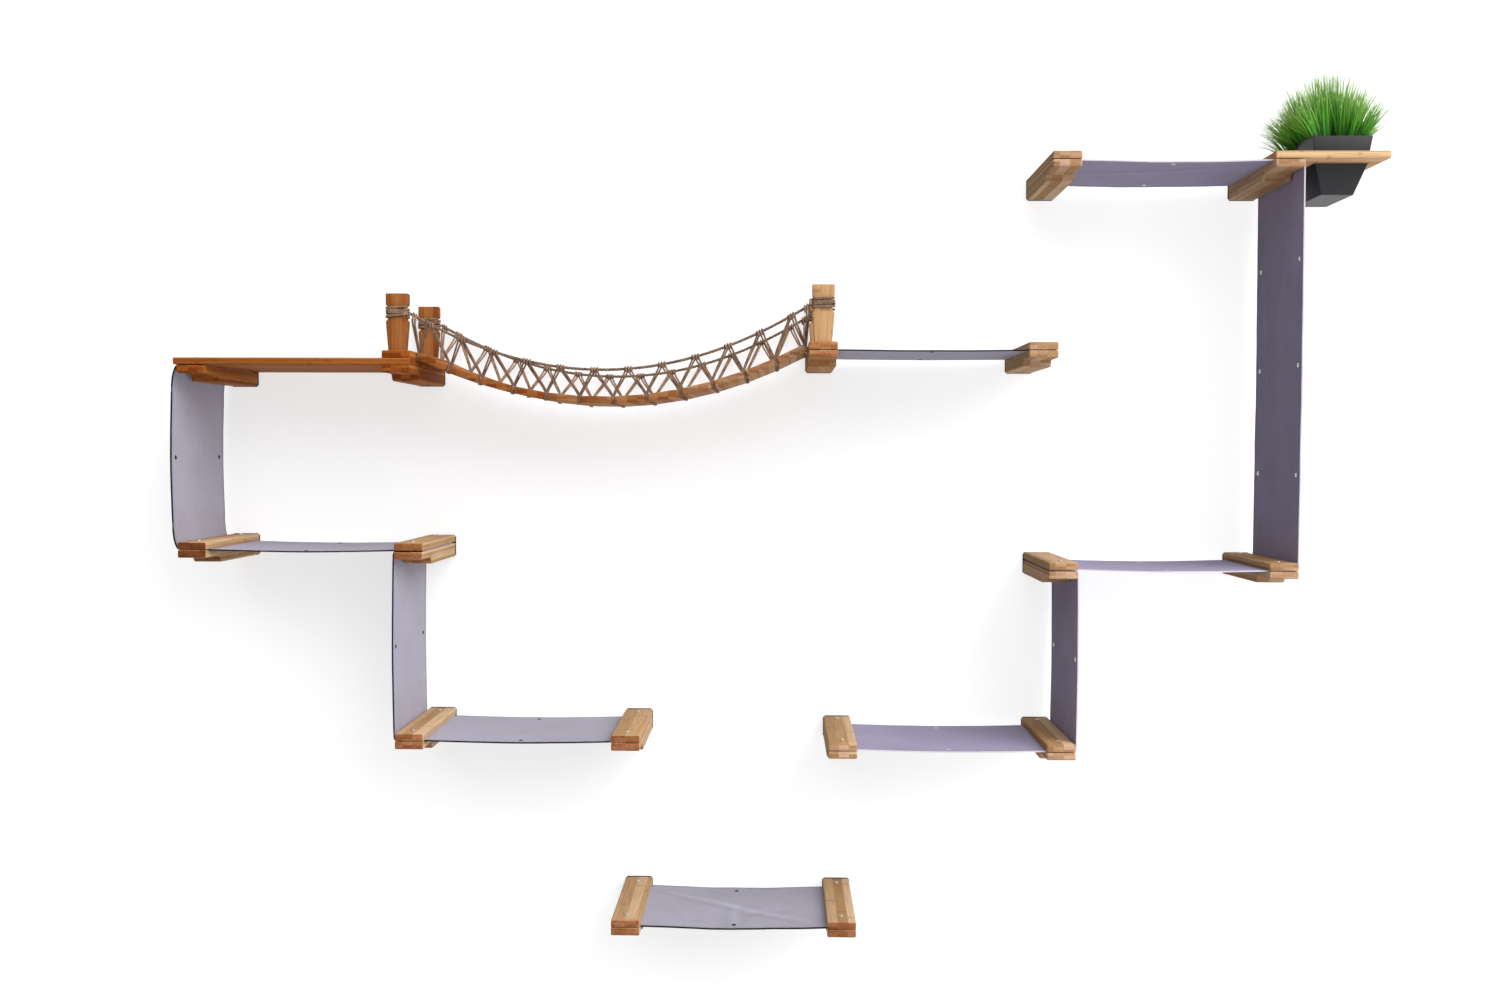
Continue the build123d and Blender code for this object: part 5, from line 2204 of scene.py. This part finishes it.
    def end_legs(self) -> list[list[Vector]]:
        """Route the near-upright doubled strand beside each post.

        Returns:
            Points close together for each strand.
        """
        lines = []
        gap = (self.hand_radius_mm + self.twine_mm + self.hook_gap_mm) * MM
        for knot, side in ((self.knots[0], 1), (self.knots[-1], -1)):
            x = knot.x + side * self.end_leg_mm * MM
            top = Vector((x, 0, self.hand.height(x)))
            way = Vector((1, 0, self.hand.slope(x))).normalized()
            for row, hand_row, out in self.sides():
                leg = self.leg(knot, top, Vector((side, 0, 0)), row, hand_row, out)
                here = top + hand_row
                outside = here + out * gap
                hook = [here - out * gap, here + Vector((0, 0, 1.25 * gap)), outside]
                hook.append(outside - Vector((0, 0, self.hook_drop_mm * MM)))
                lines.extend(self.doubled(leg + hook, way, False))
        return lines

    def doubled(self, route: list[Vector], way: Vector, both_legs: bool) -> list[list[Vector]]:
        """Lay two strands along a route, close together in the gap between planks and apart above it.

        Args:
            route: the points of the route.
            way: the direction in which the strands lie side by side.
            both_legs: whether the route also ends in a gap.

        Returns:
            Points close together for each strand.
        """
        lines = []
        last = len(route) - 1
        for side in (-1, 1):
            line = []
            for index, point in enumerate(route):
                rank = min(index, last - index) if both_legs else index
                share = min(1.0, max(0.0, (rank - self.close_points) / self.parting_points))
                apart = self.strand_close_mm + (self.strand_apart_mm - self.strand_close_mm) * share
                line.append(point + way * (side * apart * MM))
            lines.append(soft_line(line, 5))
        return lines

    def build_posts(self) -> None:
        """Model one flat baluster, then copy it to the four corners."""
        half = Vector((self.post_width_mm / 2, self.post_thickness_mm / 2, 0)) * MM
        post = add_board("post", -half, half + Vector((0, 0, self.post_height_mm * MM)))
        for level_mm in (self.shoulder_mm, self.neck_foot_mm, self.neck_head_mm, self.head_foot_mm):
            cut_across(post, Vector((0, 0, level_mm * MM)), Vector((0, 0, 1)))
        for level_mm, width_mm in (
            (0.0, self.post_base_mm),
            (self.neck_foot_mm, self.post_neck_mm), (self.neck_head_mm, self.post_neck_mm),
        ):
            level = level_mm * MM
            share = width_mm / self.post_width_mm
            with editing(post):
                pick(post, Element.VERTEX, lambda v: abs(v.co.z - level) < 0.1 * MM)
                bpy.ops.transform.resize(value=(share, 1, 1), center_override=(0, 0, level))
        foot = 0.1 * MM
        round_edges(
            post, self.post_edge_mm * MM, 3,
            lambda edge: edge.calc_face_angle(0) > 0.2 and max(v.co.z for v in edge.verts) > foot,
        )
        smooth(post)
        for (name, top_mm), finish in zip(self.tops_mm.items(), self.finishes.posts):
            spots = [Vector((PLACES_MM[name][0], row_mm, top_mm)) * MM for row_mm in self.hand_rows_mm]
            copies = [copy_to(post, "post_copy", Matrix.Translation(spot)) for spot in spots]
            settle(join(copies, f"posts_{name}"), finish, Body.WALL, ["bridge_posts"])
        bpy.data.objects.remove(post)
        dress_node("post_screws", self.finishes.screw)

    def build_windings(self) -> None:
        """Wind a rope four times round each post's neck."""
        (x, y), corner = self.winding_mm, self.winding_corner_mm
        half = [(x, corner - y), (x, y - corner), (x - corner, y), (corner - x, y)]
        ring = half + [(-x, -y) for x, y in half]
        foot = self.neck_foot_mm + self.winding_foot_mm
        stray = self.winding_stray_mm
        chance = random.Random(self.seed)
        lines = []
        for name, top_mm in self.tops_mm.items():
            for row_mm in self.hand_rows_mm:
                route = []
                for count in range(self.winding_turns * len(ring) + 1):
                    loose = chance.uniform(1.0, self.winding_slack)
                    x, y = (loose * value for value in ring[count % len(ring)])
                    rise = top_mm + foot + count / len(ring) * self.winding_pitch_mm
                    rise += chance.uniform(-stray, stray)
                    route.append(Vector((PLACES_MM[name][0] + x, row_mm + y, rise)) * MM)
                lines.append(soft_line(route, 6))
        coil = twist_strands(
            "post_windings_rope", lines, self.winding_radius_mm * MM, self.winding_lay_mm * MM, 2
        )
        smooth(coil, 60)
        settle(coil, self.finishes.twine, Body.WALL, ["post_windings"])


def main() -> None:
    """Build the studio and every part of the object."""
    logging.basicConfig(level=logging.INFO, format="%(message)s")
    Studio().build()
    finishes = Finishes()
    bridge = Bridge(finishes)
    bridge.build_ropes()
    Brackets(finishes).build()
    Shelf(finishes).build()
    Planter(finishes).build()
    Canvases(finishes).build()
    bridge.build()
    bpy.context.view_layer.update()


if __name__ == "__main__":
    main()
